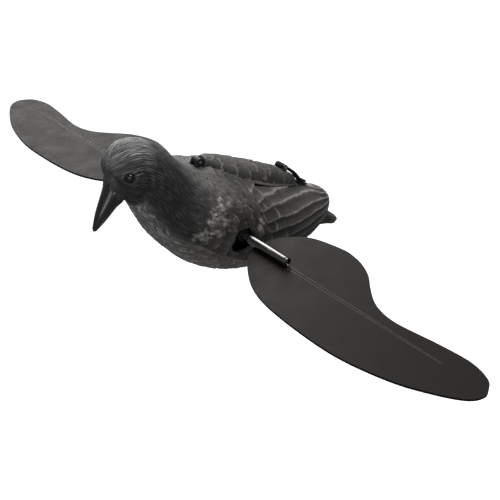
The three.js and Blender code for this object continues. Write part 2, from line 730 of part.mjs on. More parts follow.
function latchAnchor() {
  const pad = boxSolid([-5, FOOT_T - 5, -6], [5, FOOT_T + 5, 1.2]);
  const stud = rodSolid(STUD.radius, [0, FOOT_T, 0], [0, FOOT_T, STUD.top], 16);
  const screwHole = rodSolid(SCREW_RADIUS + GAP, [0, FOOT_T, -12], [0, FOOT_T, -0.4], 12);
  const anchor = onBack(pad.add(stud)).subtract(CLEAR_OF_BODY).subtract(onBack(screwHole));
  const screw = turned([
    [0, -8], [SCREW_HEAD, -8], [SCREW_HEAD, -6.4], [SCREW_RADIUS, -6.4], [SCREW_RADIUS, -0.8], [0, -0.8],
  ], 10).translate([0, FOOT_T, 0]);
  return [
    piece('latch_anchor', anchor, BLACK_PLASTIC),
    piece('latch_anchor_screw', onBack(screw), DARK_STEEL),
  ];
}

// The rubber strap in side view (t, n): an eye round its pin, a bent band, and a foot over the stud.
function latchStrap() {
  const middle = [[131, 13.4], [137, 12.6], [144, 11], [150, 9.2], [156, 6.6], [162, 3.9]];
  const half = 1.1;
  const upper = middle.map(([t, n]) => new THREE.Vector2(t, n + half));
  const lower = middle.map(([t, n]) => new THREE.Vector2(t, n - half)).reverse();
  const width = STRAP_HALF_WIDTH;
  const band = prismX(new THREE.Shape([
    new THREE.Vector2(LATCH_T, LATCH_N + 2.6),
    ...upper,
    new THREE.Vector2(163, 4.2),
    new THREE.Vector2(FOOT_T + 4.6, 4.2),
    new THREE.Vector2(FOOT_T + 4.6, 1.8),
    new THREE.Vector2(163, 1.8),
    ...lower,
    new THREE.Vector2(LATCH_T, LATCH_N),
  ]), -width, width);
  const eye = rodSolid(3, [-width, LATCH_T, LATCH_N], [width, LATCH_T, LATCH_N]);
  const ends = [-1, 1].map((side) => [side * (width + 2), LATCH_T, LATCH_N]);
  const eyeHole = rodSolid(PIN_RADIUS + GAP, ...ends, 16);
  const studHole = rodSolid(STUD.radius + 0.7, [0, FOOT_T, -2], [0, FOOT_T, 8], 16);
  return piece('latch_strap', onBack(band.add(eye).subtract(eyeHole).subtract(studHole)), RUBBER);
}

// ---------------------------------------------------------------- assembly

function assembled(...meshes) {
  const group = new THREE.Group();
  meshes.flat().forEach((mesh) => group.add(mesh));
  return group;
}

const decoy = assembled(
  shellHalves(),
  billPiece(),
  eyePieces(),
  shellScrewPieces(),
  stakeSocket(),
  switchHousing(),
  switchRocker(),
  batteryTray(),
  batteryCells(),
  batteryContacts(),
  wiring(),
  motorPieces(),
  motorMount(),
  grommets(),
  drivePieces(),
  wing('left', (solid) => solid),
  wing('right', mirrored),
  batteryLid(),
  pinPiece('hinge_pin', HINGE_X, 0, 0, 5.4),
  hingeBracket(),
  pinPiece('latch_pin', 0, LATCH_T, LATCH_N, 7.4),
  latchAnchor(),
  latchStrap(),
);

export default decoy;
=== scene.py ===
"""Looks for the crow decoy: feathered shells and lid, fluted wings, tubes, fittings, studio and camera."""
import math

import bmesh
import bpy
import numpy as np
from mathutils import Matrix, Vector
from mathutils.kdtree import KDTree

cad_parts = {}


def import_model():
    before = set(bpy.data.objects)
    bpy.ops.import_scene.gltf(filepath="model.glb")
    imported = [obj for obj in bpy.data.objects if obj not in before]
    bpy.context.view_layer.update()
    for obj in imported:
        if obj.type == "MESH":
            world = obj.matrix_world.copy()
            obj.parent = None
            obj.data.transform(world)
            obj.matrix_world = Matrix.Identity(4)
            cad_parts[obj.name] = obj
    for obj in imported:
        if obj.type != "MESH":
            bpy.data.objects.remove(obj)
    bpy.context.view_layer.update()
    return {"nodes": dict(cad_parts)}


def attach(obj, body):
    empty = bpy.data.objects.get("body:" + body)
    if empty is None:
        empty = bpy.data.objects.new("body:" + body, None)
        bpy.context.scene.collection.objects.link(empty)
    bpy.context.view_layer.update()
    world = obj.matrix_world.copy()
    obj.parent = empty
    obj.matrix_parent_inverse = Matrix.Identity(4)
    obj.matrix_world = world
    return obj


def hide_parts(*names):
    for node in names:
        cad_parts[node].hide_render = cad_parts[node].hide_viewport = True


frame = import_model()
nodes = frame["nodes"]

MM = 0.001

# ------------------------------------------------------------------ dimensions, in millimetres

SPIN = (-50.0, 85.0)
BLADE_TOP = 80.0
BLADE_THICKNESS = 2.4
TUBE = dict(start=77.0, end=131.0, radius=4.5, bore=3.4, seam=1.05, slot=0.13)
AXLE = dict(radius=3.0, half=127.0)
HINGE = (-52.0, 140.0)
BACK_SLOPE = math.radians(29)
HINGE_X = 3.4
LATCH = (126.0, 13.5)
EYE = (19.0, -140.5, 161.0)
EYE_RADIUS = 4.7
SPLIT = 0.15
# Each shell screw's y and z, and the x of its seat.
SCREWS = [(-88, 75, -40), (-115, 150, -21), (90, 25, -30), (62, 16, -28)]
SCREW_HOLE = 3.8
WINDOW = dict(z=78.0, width=20.0, height=30.0)
EAR = dict(middle=3.575, half=1.4)
EYE_SOCKET = dict(radius=5.1, depth=9.3)
STUD = dict(t=167, hole=1.95, clearance=2.7)
SOCKET_HOLE = 11.85
SWITCH_HOLE = ((-7.4, 25.6, -8), (7.4, 46.4, 17))
BILL_HOLE = 6.35
SHELL_WALL = 1.9

# Lofts: the body from tail to head, the tail and bill from root to tip. Each station has its top (y, z),
# bottom (y, z), half width, how far the widest level lies above the middle as a share of the half height, and
# the superellipse powers of the upper and lower halves.
BODY = [
    (137, 25, 134, 13, 5, 0, 2, 2), (127, 39, 117, 10, 18, 0, 2.1, 2),
    (101, 54, 89, 8, 38, 0.1, 2.1, 1.85), (69, 71, 58, 3, 55, 0.15, 2.1, 1.78),
    (36, 88, 23, 2, 67, 0.2, 2.1, 1.78), (4, 105, -9, 3, 73, 0.2, 2.1, 1.8),
    (-28, 122, -41, 12, 73, 0.2, 2.1, 1.8), (-53, 134, -72, 31, 67, 0.2, 2, 1.8),
    (-69, 142, -95, 56, 51, 0.1, 2, 1.9), (-79, 151, -111, 78, 40, 0, 2, 2),
    (-90, 165, -122, 100, 34.5, 0, 2, 2), (-107, 179, -130, 118, 29.5, 0, 2, 2),
    (-126, 185, -135, 130, 27, 0, 2, 2), (-144, 178, -139, 135, 22, 0, 2, 2),
    (-152, 166, -143, 140, 14, 0, 2, 2),
]
TAIL = [
    (70, 46, 70, 18, 30, 0, 2, 2), (100, 31, 98, 8, 26, 0, 2.5, 2.5),
    (125, 17, 123, -2, 21, 0, 2.5, 2.5), (141, 3, 138, -10, 14, 0, 2.5, 2.5),
    (150, -5, 148, -12, 8, 0, 2.5, 2.5),
]
BILL = [
    (-149, 165, -136, 134, 12.5, 0, 2, 2), (-156, 147, -149, 124, 9.5, 0, 2, 2),
    (-167, 126, -161, 114, 6, 0, 2, 2), (-173, 111, -170.5, 107.5, 2.5, 0, 2, 2),
]
# The lid along the back: distance from the hinge, level of its rim, level of its crown, half width.
LID = [
    (8, -4.6, 4.5, 8), (16, -4.8, 6, 14), (25, -5.1, 7, 20), (36, -5.3, 7.6, 24), (50, -5.4, 8.5, 26),
    (63, -5.4, 9, 26), (92, -5.2, 10.3, 24.5), (110, -5, 10.5, 21), (125, -4.8, 10, 16.5),
    (140, -4.2, 8, 11), (150, -3.6, 5, 6.5), (157, -3.4, 1.5, 2.5),
]
# A blade's outline in plan: distance from the bird's middle, and distance behind the spin axis.
WING = [
    (86, 1), (91, -11), (103, -25), (130, -43.5), (160, -53), (205, -57), (250, -56), (295, -46),
    (325, -33), (348, -18.5), (355.5, -6), (353, 4), (345, 13), (325, 19), (295, 17.5), (265, 13.5),
    (250, 12.3), (235, 14.2), (220, 20.4), (205, 32), (190, 45.5), (175, 54), (160, 58.5), (145, 59.3),
    (115, 52.5), (99, 40.5), (88, 22), (86, 9),
]

# ------------------------------------------------------------------ mesh helpers


def mesh_object(name, points, faces, sharp=None):
    """A smooth-shaded mesh from points in millimetres; edges sharper than the angle stay crisp."""
    mesh = bpy.data.meshes.new(name)
    mesh.from_pydata((np.asarray(points, float) * MM).tolist(), [], faces)
    mesh.update()
    thing = bpy.data.objects.new(name, mesh)
    bpy.context.scene.collection.objects.link(thing)
    shade(thing, sharp)
    return thing


def shade(thing, sharp=None):
    mesh = thing.data
    mesh.polygons.foreach_set("use_smooth", [True] * len(mesh.polygons))
    if sharp is not None:
        mesh.set_sharp_from_angle(angle=math.radians(sharp))


def outward(thing):
    """Turns every face of a closed mesh outwards."""
    mesh = thing.data
    mesh.calc_loop_triangles()
    points = np.array([v.co for v in mesh.vertices])
    corners = np.array([t.vertices for t in mesh.loop_triangles])
    a, b, c = points[corners[:, 0]], points[corners[:, 1]], points[corners[:, 2]]
    if np.einsum("ij,ij->i", a, np.cross(b, c)).sum() < 0:
        mesh.flip_normals()
    return thing


def joined(name, things):
    """One mesh object holding the meshes of several, which go."""
    points, faces = [], []
    for thing in things:
        first = len(points)
        points += [v.co[:] for v in thing.data.vertices]
        faces += [[first + i for i in p.vertices] for p in thing.data.polygons]
        bpy.data.objects.remove(thing)
    return mesh_object(name, np.array(points) / MM, faces)


def applied(thing):
    """Makes the modifiers' result the object's own mesh."""
    evaluated = thing.evaluated_get(bpy.context.evaluated_depsgraph_get())
    mesh = bpy.data.meshes.new_from_object(evaluated)
    thing.modifiers.clear()
    thing.data = mesh
    return thing


def combine(thing, other, operation, keep_other=False):
    modifier = thing.modifiers.new("combine", "BOOLEAN")
    modifier.operation = operation
    modifier.solver = "MANIFOLD"
    modifier.object = other
    applied(thing)
    if not keep_other:
        bpy.data.objects.remove(other)
    return thing


def catmull_rom(a, b, c, d, t):
    bend = (2 * a - 5 * b + 4 * c - d) * t**2
    return 0.5 * (2 * b + (c - a) * t + bend + (3 * b - a - 3 * c + d) * t**3)


def smoothed(stations, steps):
    """Catmull-Rom rows between stations, and each row's place in the list of stations."""
    knots = np.array(stations, float)
    knots = np.vstack([2 * knots[0] - knots[1], knots, 2 * knots[-1] - knots[-2]])
    rows, places = [], []
    for i, count in enumerate(steps):
        t = (np.arange(count) / count)[:, None]
        rows.append(catmull_rom(*knots[i:i + 4], t))
        places.append(i + t[:, 0])
    return np.vstack(rows + [knots[-2:-1]]), np.concatenate(places + [[len(steps)]])


def steps_for(stations, spacing):
    """How many rows to put between stations so that they lie about that far apart."""
    knots = np.array(stations, float)
    middles = (knots[:, 0:2] + knots[:, 2:4]) / 2
    return [max(1, round(float(d) / spacing)) for d in np.linalg.norm(np.diff(middles, axis=0), axis=1)]


def ring_angles(sides):
    return (np.arange(sides) + 0.5) * 2 * math.pi / sides


def rise_angle(angles):
    """Degrees up from a ring's widest level, the same on both sides."""
    return np.degrees(np.arctan2(np.sin(angles), np.abs(np.cos(angles))))


def ring_points(rows, angles, grow=0.0):
    """A ring of points for each station, grown outwards by some millimetres."""
    top, bottom = rows[:, 0:2], rows[:, 2:4]
    middle, up = (top + bottom) / 2, (top - bottom) / 2
    length = np.linalg.norm(up, axis=1, keepdims=True)
    up = up * (length + grow) / length
    sine, cosine = np.sin(angles)[None, :], np.cos(angles)[None, :]
    square = np.where(sine >= 0, rows[:, 6:7], rows[:, 7:8])
    rise = np.sign(sine) * np.abs(sine) ** (2 / square)
    across = np.sign(cosine) * np.abs(cosine) ** (2 / square)
    points = np.empty(rise.shape + (3,))
    points[..., 0] = across * (rows[:, 4:5] + grow)
    points[..., 1:] = middle[:, None, :] + (rise + rows[:, 5:6] * (1 - rise**2))[..., None] * up[:, None, :]
    return points


def grid_normals(points):
    along = np.gradient(points, axis=0)
    around = np.roll(points, -1, axis=1) - np.roll(points, 1, axis=1)
    normals = np.cross(along, around)
    normals /= np.linalg.norm(normals, axis=2, keepdims=True) + 1e-12
    outwards = points - points.mean(axis=1, keepdims=True)
    return normals * np.sign(np.einsum("ijk,ijk->", normals, outwards))


def ring_faces(rows, sides):
    """A grid of rings' vertex numbers, the same numbers one place round, and the quads between rings."""
    index = np.arange(rows * sides).reshape(rows, sides)
    turned = np.roll(index, -1, axis=1)
    quads = np.stack([index[:-1], turned[:-1], turned[1:], index[1:]], axis=-1)
    return index, turned, quads.reshape(-1, 4).tolist()


def closed_skin(name, points, dome=0.0, sharp=None):
    """A closed mesh over a grid of rings, its ends capped with low domes."""
    rows, sides = points.shape[:2]
    ends = [points[0].mean(axis=0), points[-1].mean(axis=0)]
    axes = [ends[0] - points[1].mean(axis=0), ends[1] - points[-2].mean(axis=0)]
    ends = [end + dome * axis / (np.linalg.norm(axis) + 1e-9) for end, axis in zip(ends, axes)]
    index, turned, faces = ring_faces(rows, sides)
    first = rows * sides
    faces += [[first, b, a] for a, b in zip(index[0].tolist(), turned[0].tolist())]
    faces += [[first + 1, a, b] for a, b in zip(index[-1].tolist(), turned[-1].tolist())]
    return outward(mesh_object(name, np.vstack([points.reshape(-1, 3), ends]), faces, sharp))


def walled_skin(name, outer, inner, sharp=None):
    """A closed mesh of a wall between an outer and an inner grid of open arcs, row by row."""
    rows, count = outer.shape[:2]
    points = np.concatenate([outer, inner[:, ::-1]], axis=1)
    sides = 2 * count
    index, _, faces = ring_faces(rows, sides)
    for row, flip in ((0, 1), (rows - 1, -1)):
        for i in range(count - 1):
            quad = [index[row, i], index[row, i + 1], index[row, sides - 2 - i], index[row, sides - 1 - i]]
            faces.append([int(k) for k in quad][::-flip])
    return outward(mesh_object(name, points.reshape(-1, 3), faces, sharp))


def prism(name, outline, low, high, place=Matrix.Identity(4), sharp=30):
    """A closed prism along local Z of an outline of (x, y) points, put in place."""
    count = len(outline)
    points = [(x, y, low) for x, y in outline] + [(x, y, high) for x, y in outline]
    faces = [list(range(count))[::-1], [count + i for i in range(count)]]
    faces += [[i, (i + 1) % count, count + (i + 1) % count, count + i] for i in range(count)]
    points = [place @ Vector(p) for p in points]
    return outward(mesh_object(name, points, faces, sharp))


def lathe(name, profile, start, direction, sides=40, sharp=30):
    """A closed turned solid: (radius, distance) points from one end of its axis to the other."""
    frame_matrix = Vector(direction).to_track_quat("Z", "Y").to_matrix()
    angles = np.arange(sides) * 2 * math.pi / sides
    rings = []
    for radius, along in profile:
        ring = [Vector((radius * math.cos(a), radius * math.sin(a), along)) for a in angles]
        rings.append([(Vector(start) + frame_matrix @ p)[:] for p in ring])
    return closed_skin(name, np.array(rings), 0.0, sharp)


def cylinder(name, radius, start, end, sides=32):
    direction = Vector(end) - Vector(start)
    return lathe(name, [(radius, 0), (radius, direction.length)], start, direction, sides)


def box(name, low, high, place=Matrix.Identity(4)):
    outline = [(low[0], low[1]), (high[0], low[1]), (high[0], high[1]), (low[0], high[1])]
    return prism(name, outline, low[2], high[2], place)


def circle(x, y, radius, count=32, start=0.0, end=2 * math.pi):
    turns = [start + (end - start) * i / count for i in range(count)]
    return [(x + radius * math.cos(turn), y + radius * math.sin(turn)) for turn in turns]


def add(thing, look, body, slot_name, *replaced):
    """Makes a mesh a piece of the object: its material, body and the frame nodes it stands for. The finish
    name, slot_name, is not used.
    """
    thing.data.materials.clear()
    thing.data.materials.append(look)
    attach(thing, body)
    if replaced:
        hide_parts(*replaced)


# ALONG_X stands a prism's outline in (y, z) and runs it along X. BACK places (x, distance down the back from
# the hinge, height off the back) in the bird.
ALONG_X = Matrix(((0, 0, 1, 0), (1, 0, 0, 0), (0, 1, 0, 0), (0, 0, 0, 1)))
BACK = Matrix((
    (1, 0, 0, 0),
    (0, math.cos(BACK_SLOPE), math.sin(BACK_SLOPE), HINGE[0]),
    (0, -math.sin(BACK_SLOPE), math.cos(BACK_SLOPE), HINGE[1]),
    (0, 0, 0, 1),
))



def on_back(name, radius, start, end):
    """A cylinder between two places given along the back."""
    return cylinder(name, radius, BACK @ Vector(start), BACK @ Vector(end))


# ------------------------------------------------------------------ node materials


class Nodes:
    """A short way to write a node tree."""

    def __init__(self, name):
        self.material = bpy.data.materials.new(name)
        self.material.use_nodes = True
        self.tree = self.material.node_tree
        self.shader = self.tree.nodes["Principled BSDF"]

    def add(self, kind, **settings):
        node = self.tree.nodes.new(kind)
        for key, value in settings.items():
            setattr(node, key, value)
        return node

    def link(self, source, target):
        self.tree.links.new(source, target)
        return target

    def coordinates(self, kind="Object", scale=(1, 1, 1)):
        source = self.add("ShaderNodeTexCoord")
        mapping = self.add("ShaderNodeMapping")
        mapping.inputs["Scale"].default_value = scale
        self.link(source.outputs[kind], mapping.inputs["Vector"])
        return mapping.outputs["Vector"]

    def noise(self, scale, detail=3.0, vector=None, rough=0.5):
        node = self.add("ShaderNodeTexNoise")
        node.inputs["Scale"].default_value = scale
        node.inputs["Detail"].default_value = detail
        node.inputs["Roughness"].default_value = rough
        if vector is not None:
            self.link(vector, node.inputs["Vector"])
        return node.outputs["Fac"]

    def span(self, value, low, high, from_low=0.3, from_high=0.7):
        node = self.add("ShaderNodeMapRange")
        node.inputs["From Min"].default_value = from_low
        node.inputs["From Max"].default_value = from_high
        node.inputs["To Min"].default_value = low
        node.inputs["To Max"].default_value = high
        self.link(value, node.inputs["Value"])
        return node.outputs["Result"]

    def math(self, operation, a, b):
        node = self.add("ShaderNodeMath", operation=operation)
        for slot, value in zip(node.inputs, (a, b)):
            if isinstance(value, (int, float)):
                slot.default_value = value
            else:
                self.link(value, slot)
        return node.outputs[0]

    def mix(self, factor, a, b, blend="MIX"):
        node = self.add("ShaderNodeMix", data_type="RGBA", blend_type=blend)
        for slot, value in ((node.inputs[0], factor), (node.inputs[6], a), (node.inputs[7], b)):
            if isinstance(value, (int, float)):
                slot.default_value = value
            elif isinstance(value, tuple):
                slot.default_value = (*value, 1)
            else:
                self.link(value, slot)
        return node.outputs[2]

    def bump(self, height, distance, strength=1.0, after=None):
        node = self.add("ShaderNodeBump")
        node.inputs["Distance"].default_value = distance
        node.inputs["Strength"].default_value = strength
        self.link(height, node.inputs["Height"])
        if after is not None:
            self.link(after, node.inputs["Normal"])
        return node.outputs["Normal"]

    def finish(self, colour=None, roughness=None, normal=None, **fixed):
        for slot, value in (("Base Color", colour), ("Roughness", roughness), ("Normal", normal)):
            if value is not None:
                self.link(value, self.shader.inputs[slot])
        for key, value in fixed.items():
            self.shader.inputs[key.replace("_", " ")].default_value = value
        return self.material


def moulded(name, colour, roughness=0.5, grain=900.0, depth=0.00005, vary=0.25, metal=0.0,
            streak=(1, 1, 1), **fixed):
    """A plain material with a fine grain, faint blotches and an uneven gloss."""
    n = Nodes(name)
    fine = n.noise(grain, 3.0, n.coordinates("Object", streak))
    broad = n.noise(60.0, 4.0, n.coordinates())
    dark = tuple(c * (1 - vary) for c in colour)
    light = tuple(c * (1 + vary) for c in colour)
    tint = n.mix(n.span(broad, 0, 1), dark, light)
    gloss = n.span(n.math("ADD", n.math("MULTIPLY", fine, 0.5), n.math("MULTIPLY", broad, 0.5)),
                   max(0.04, roughness - 0.1), roughness + 0.12)
    return n.finish(tint, gloss, n.bump(fine, depth), Metallic=metal, **fixed)


def plumage_material():
    """Painted feathers: the paint and the feathers' own directions are stored on the mesh."""
    n = Nodes("plumage_paint")
    paint = n.add("ShaderNodeAttribute", attribute_name="paint").outputs["Color"]
    flow = n.add("ShaderNodeAttribute", attribute_name="flow").outputs["Vector"]
    stretch = n.add("ShaderNodeMapping")
    stretch.inputs["Scale"].default_value = (0.13, 0.75, 1)
    n.link(flow, stretch.inputs["Vector"])
    barbs = n.noise(1.0, 3.0, stretch.outputs["Vector"], 0.6)
    blotch = n.noise(75.0, 4.0, n.coordinates())
    speck = n.noise(1500.0, 2.0, n.coordinates())
    shaded = paint
    for pattern, dark, light in (
        (blotch, (0.84, 0.84, 0.84), (1.16, 1.15, 1.13)),
        (barbs, (0.66, 0.66, 0.66), (1.36, 1.35, 1.33)),
    ):
        shaded = n.mix(1.0, shaded, n.mix(n.span(pattern, 0, 1), dark, light), "MULTIPLY")
    shaded = n.mix(n.span(speck, 0, 0.09, 0.56, 0.72), shaded, (0.2, 0.19, 0.18))
    normal = n.bump(barbs, 0.0005, 0.55, n.bump(speck, 0.00008))
    return n.finish(shaded, n.span(blotch, 0.44, 0.62), normal, Specular_IOR_Level=0.4)


# ------------------------------------------------------------------ feathers


def smooth(value, low, high):
    t = np.clip((value - low) / (high - low), 0, 1)
    return t * t * (3 - 2 * t)


def near(distance, width):
    """1 at a distance of nought, fading smoothly to 0 over about twice the width."""
    return np.exp(-(distance / width) ** 2)


def tinted(light, tint):
    return np.stack([light * channel for channel in tint], axis=-1)


def scatter(row, column, salt):
    """A repeatable number from 0 to 1 for a feather's row and column."""
    return np.modf(np.abs(np.sin(row * 127.1 + column * 311.7 + salt * 74.7) * 4375.85))[0]


def wander(x, y, z, size, salt=0.0, octaves=3):
    """A smooth repeatable noise from about -1 to 1, its largest features that many millimetres across."""
    total, weight = np.zeros_like(x), 1.0
    for octave in range(octaves):
        scaled = [axis / size * 2**octave + 19.3 * salt + 7.7 * octave for axis in (x, y, z)]
        whole = [np.floor(axis) for axis in scaled]
        part = [axis - base for axis, base in zip(scaled, whole)]
        part = [f * f * (3 - 2 * f) for f in part]
        value = np.zeros_like(x)
        for corner in range(8):
            bits = [corner & 1, corner >> 1 & 1, corner >> 2 & 1]
            share = np.ones_like(x)
            for bit, f in zip(bits, part):
                share = share * (f if bit else 1 - f)
            i, j, k = (base + bit for base, bit in zip(whole, bits))
            value += share * scatter(i, j, 1.0 + k)
        total += weight * (2 * value - 1)
        weight *= 0.5
    return total * 1.15


def streaks(p, q, spacing, length, salt):
    """Fine barbs lying along p: ridges of that spacing, broken into lengths with a height of their own."""
    lane = q / spacing + 0.55 * wander(p / 9, q / 5, p * 0, 1.0, salt, 2)
    number = np.floor(lane)
    along = p / length + scatter(number, 3.0, salt)
    piece = np.floor(along)
    own = scatter(number, piece, salt + 1)
    fade = np.sin(math.pi * (along - piece)) ** 0.7
    return np.sin(math.pi * (lane - number)) ** 1.3 * (0.35 + 0.65 * own) * (0.35 + 0.65 * fade)


def shingles(p, q, length, width, tip_depth, jitter=0.35, salt=0.0):
    """Rounded feathers overlapping towards +p, the nearer the head the higher. Gives how far each point
    lies inside the edge of the feather that covers it, its place across it, and the feather's own number."""
    row, best = np.floor(p / length), np.full(p.shape, 1e9)
    across, number = np.zeros_like(p), np.zeros_like(p)
    for ahead in (0, 1, 2):
        r = row + ahead
        shift = 0.5 * np.mod(r, 2)
        first = np.floor(q / width - shift)
        for beside in (-1, 0, 1):
            c = first + beside
            centre = (c + 0.5 + shift + jitter * (scatter(r, c, salt) - 0.5)) * width
            tip = (r + 0.35 + jitter * (scatter(r, c, salt + 1) - 0.5)) * length
            x = (q - centre) / (0.64 * width)
            inside = np.abs(x) < 1
            depth = tip - tip_depth * (1 - np.sqrt(np.clip(1 - x * x, 0, 1))) - p
            found = inside & (depth >= 0) & (depth < best)
            best = np.where(found, depth, best)
            across = np.where(found, x, across)
            number = np.where(found, scatter(r, c, salt + 2), number)
    return np.minimum(best, 2.5 * length), across, number


def feather_layer(p, q, length, width, tip_depth, height, edge, salt):
    """Relief in millimetres, the pale edge's strength and each feather's own tone, darkened deep under the
    feather above as painted shade, for one lattice.
    """
    depth, across, number = shingles(p, q, length, width, tip_depth, salt=salt)
    relief = height * (np.clip(1 - depth / (1.4 * length), 0, 1) - 0.3 * across**2)
    pale = near(depth, edge) * (0.5 + 0.7 * number)
    # Each feather's own tone, darkened as painted shade in the hollow under the feather above.
    tone_with_painted_shade = 0.82 + 0.36 * number - 0.5 * smooth(depth, 0.5 * length, 1.3 * length)
    return relief, pale, tone_with_painted_shade


# The folded wing's uppermost long feather edge in side view, and the spacing of the ones under it.
WING_TOP = ([-60, -22, 0, 20, 40, 70, 100, 125, 140], [101, 98, 93, 86, 78.5, 67, 52, 38, 30])
WING_SPACING = ([-40, -10, 40, 100, 130], [10.5, 10.5, 8, 5, 3])
WING_LOWER = ([-100, -60, -35, 0, 40, 80, 140], [84, 57, 42, 28, 22, 20, 18])


def plumage(x, y, z, place, angle, along, radius):
    """Relief and paint of the body's feathers. place counts stations from the tail to the head, angle is
    degrees up from the widest level, and along is the distance from the head in millimetres."""
    side = np.abs(x)
    top = smooth(angle, 42, 62)
    wobble = wander(x, y, z, 9.0)
    head = smooth(place + 0.15 * wobble, 11.0, 11.6)
    neck = smooth(place + 0.6 * wobble, 6.5, 8.7) * (1 - head)
    mantle = top * smooth(place, 3.2, 4.0) * (1 - head)
    over_edge = z - np.interp(y, *WING_LOWER)
    flight = (
        smooth(y + 3 * wobble, -24, -19) * smooth(over_edge, 0, 3)
        * (1 - smooth(place, 5.9, 6.4)) * (1 - smooth(z - np.interp(y, *WING_TOP), 16, 30))
    )
    shoulder = smooth(over_edge, -1, 3) * smooth(place, 4.2, 4.9) * (1 - neck) * (1 - head) * (1 - flight)

    layers = [
        # weight, (length, width in degrees, tip depth, height, edge), base, edge lightness, salt
        (np.ones_like(x), (10, 8.0, 5.0, 1.4, 1.3), 0.092, 0.330, 1.0),
        (shoulder, (11, 12.5, 6.0, 2.5, 1.1), 0.022, 0.110, 2.0),
        (mantle, (10, 9.5, 5.5, 1.8, 1.0), 0.018 + 0.025 * smooth(place, 6.8, 8.2), 0.085, 3.0),
    ]
    relief, light = np.zeros_like(x), np.zeros_like(x)
    for weight, (length, width, tip, height, edge), base, edge_light, salt in layers:
        bend = along + 1.6 * wander(x, y, z, 14.0, salt)
        h, pale, own = feather_layer(bend, angle + 1.6 * wobble, length, width, tip, height, edge, salt)
        tone = (base + (edge_light - base) * pale) * own
        relief = relief * (1 - weight) + h * weight
        light = light * (1 - weight) + tone * weight

    # Hair-like streaks on the neck, breast and head, finer and brighter on the crown, where their brightness
    # is partly pale paint and partly painted glints.
    reach = np.radians(angle) * radius
    sweep = along + 0.2 * reach
    for weight, spacing, length, height, base, bright, salt in (
        (0.6 * mantle * smooth(place, 6.0, 8.0), 3.0, 15.0, 0.8, 0.035, 0.125, 21.0),
        (neck * (1 - top), 2.0, 11.0, 1.0, 0.0250, 0.075, 22.0),
        (head, 1.9, 10.0, 1.0, 0.022, 0.150, 23.0),
    ):
        barb = streaks(sweep, reach, spacing, length, salt)
        relief = relief * (1 - weight) + height * (barb - 0.3) * weight
        light = light * (1 - weight) + (base + bright * barb) * weight

    # The long feathers of the folded wing lie in bands with pale lower edges.
    gap_to_top = np.interp(y, *WING_TOP) - z + 0.9 * wander(x, y, z, 34.0, 15.0, 2)
    spacing = np.interp(y, *WING_SPACING) * np.where(gap_to_top < 0, 0.62, 1.0)
    band = gap_to_top / spacing
    inside = band - np.floor(band)
    tips = (np.floor(band) * 8.3 + y + 44 + 9.0 * (inside - 0.45) ** 2) / 22.0
    crossing = near((tips - np.round(tips)) * 22.0, 0.9) * (1 - smooth(y, 0, 10))
    line = near(np.minimum(inside, 1 - inside) * spacing, 0.85)
    line = np.maximum(line, 0.8 * crossing) * (0.75 + 0.4 * wander(x, y, z, 6.0, 5.0))
    quill = near((inside - 0.5) * spacing, 0.5) * 0.2
    h = 1.9 * inside**1.6 + 0.5 * crossing + 0.15 * quill - 0.7
    own = scatter(np.floor(band), np.floor(tips + 0.5), 9.0)
    tone = 0.030 + 0.024 * own + 0.185 * line + 0.05 * quill
    # Each band is painted darker just under the edge of the band above, as painted shade.
    tone *= 0.75 + 0.25 * smooth(inside, 0.05, 0.4)
    relief = relief * (1 - flight) + h * flight
    light = light * (1 - flight) + tone * flight

    # Long bands run from the folded wing's lower edge round under the tail.
    rear = smooth(y, 45, 62) * (1 - smooth(over_edge, 0, 3))
    rear_pitch = 7.5
    fan = (side * (1 + 0.004 * (y - 60))) / rear_pitch
    fold = fan - np.floor(fan)
    line = near(np.minimum(fold, 1 - fold) * rear_pitch, 0.8)
    relief = relief * (1 - rear) + (0.7 * fold - 0.2) * rear
    light = light * (1 - rear) + (0.035 + 0.10 * line) * rear

    # Face, crown and throat.
    eye_distance = np.sqrt((y - EYE[1]) ** 2 + (z - EYE[2]) ** 2 + 0.4 * (side - EYE[0]) ** 2)
    eyelid = near(eye_distance - 6.3, 1.2) * (side > 8)
    relief += 0.8 * eyelid
    light = light * (1 - 0.75 * near(eye_distance, 8.0)) + 0.02 * eyelid
    # The top of the head is painted lighter as a painted sheen, and its underside darker as painted shade.
    light *= 1 + 1.10 * head * smooth(angle, 30, 66) - 0.45 * head * (1 - smooth(angle, -20, 25))

    # The neck's dark spray reaches down the breast and fades on the nape.
    light *= 1 - 0.15 * neck * (1 - top) * smooth(angle, -62, -20)
    breast = smooth(place, 6.0, 8.0) * (1 - smooth(angle, -58, -30)) * (1 - head)
    down = streaks(sweep + 5 * wobble, reach + 2.5 * wobble, 3.4, 9.0, 31.0)
    light = light * (1 - breast) + (0.11 + 0.52 * down) * breast
    relief = relief * (1 - breast) + (0.9 * down - 0.3) * breast

    # Dry-brushed paint makes high points pale, and the hollows are darkened further as painted shade.
    light *= 0.45 + 0.98 * smooth(relief, -0.6, 1.4)

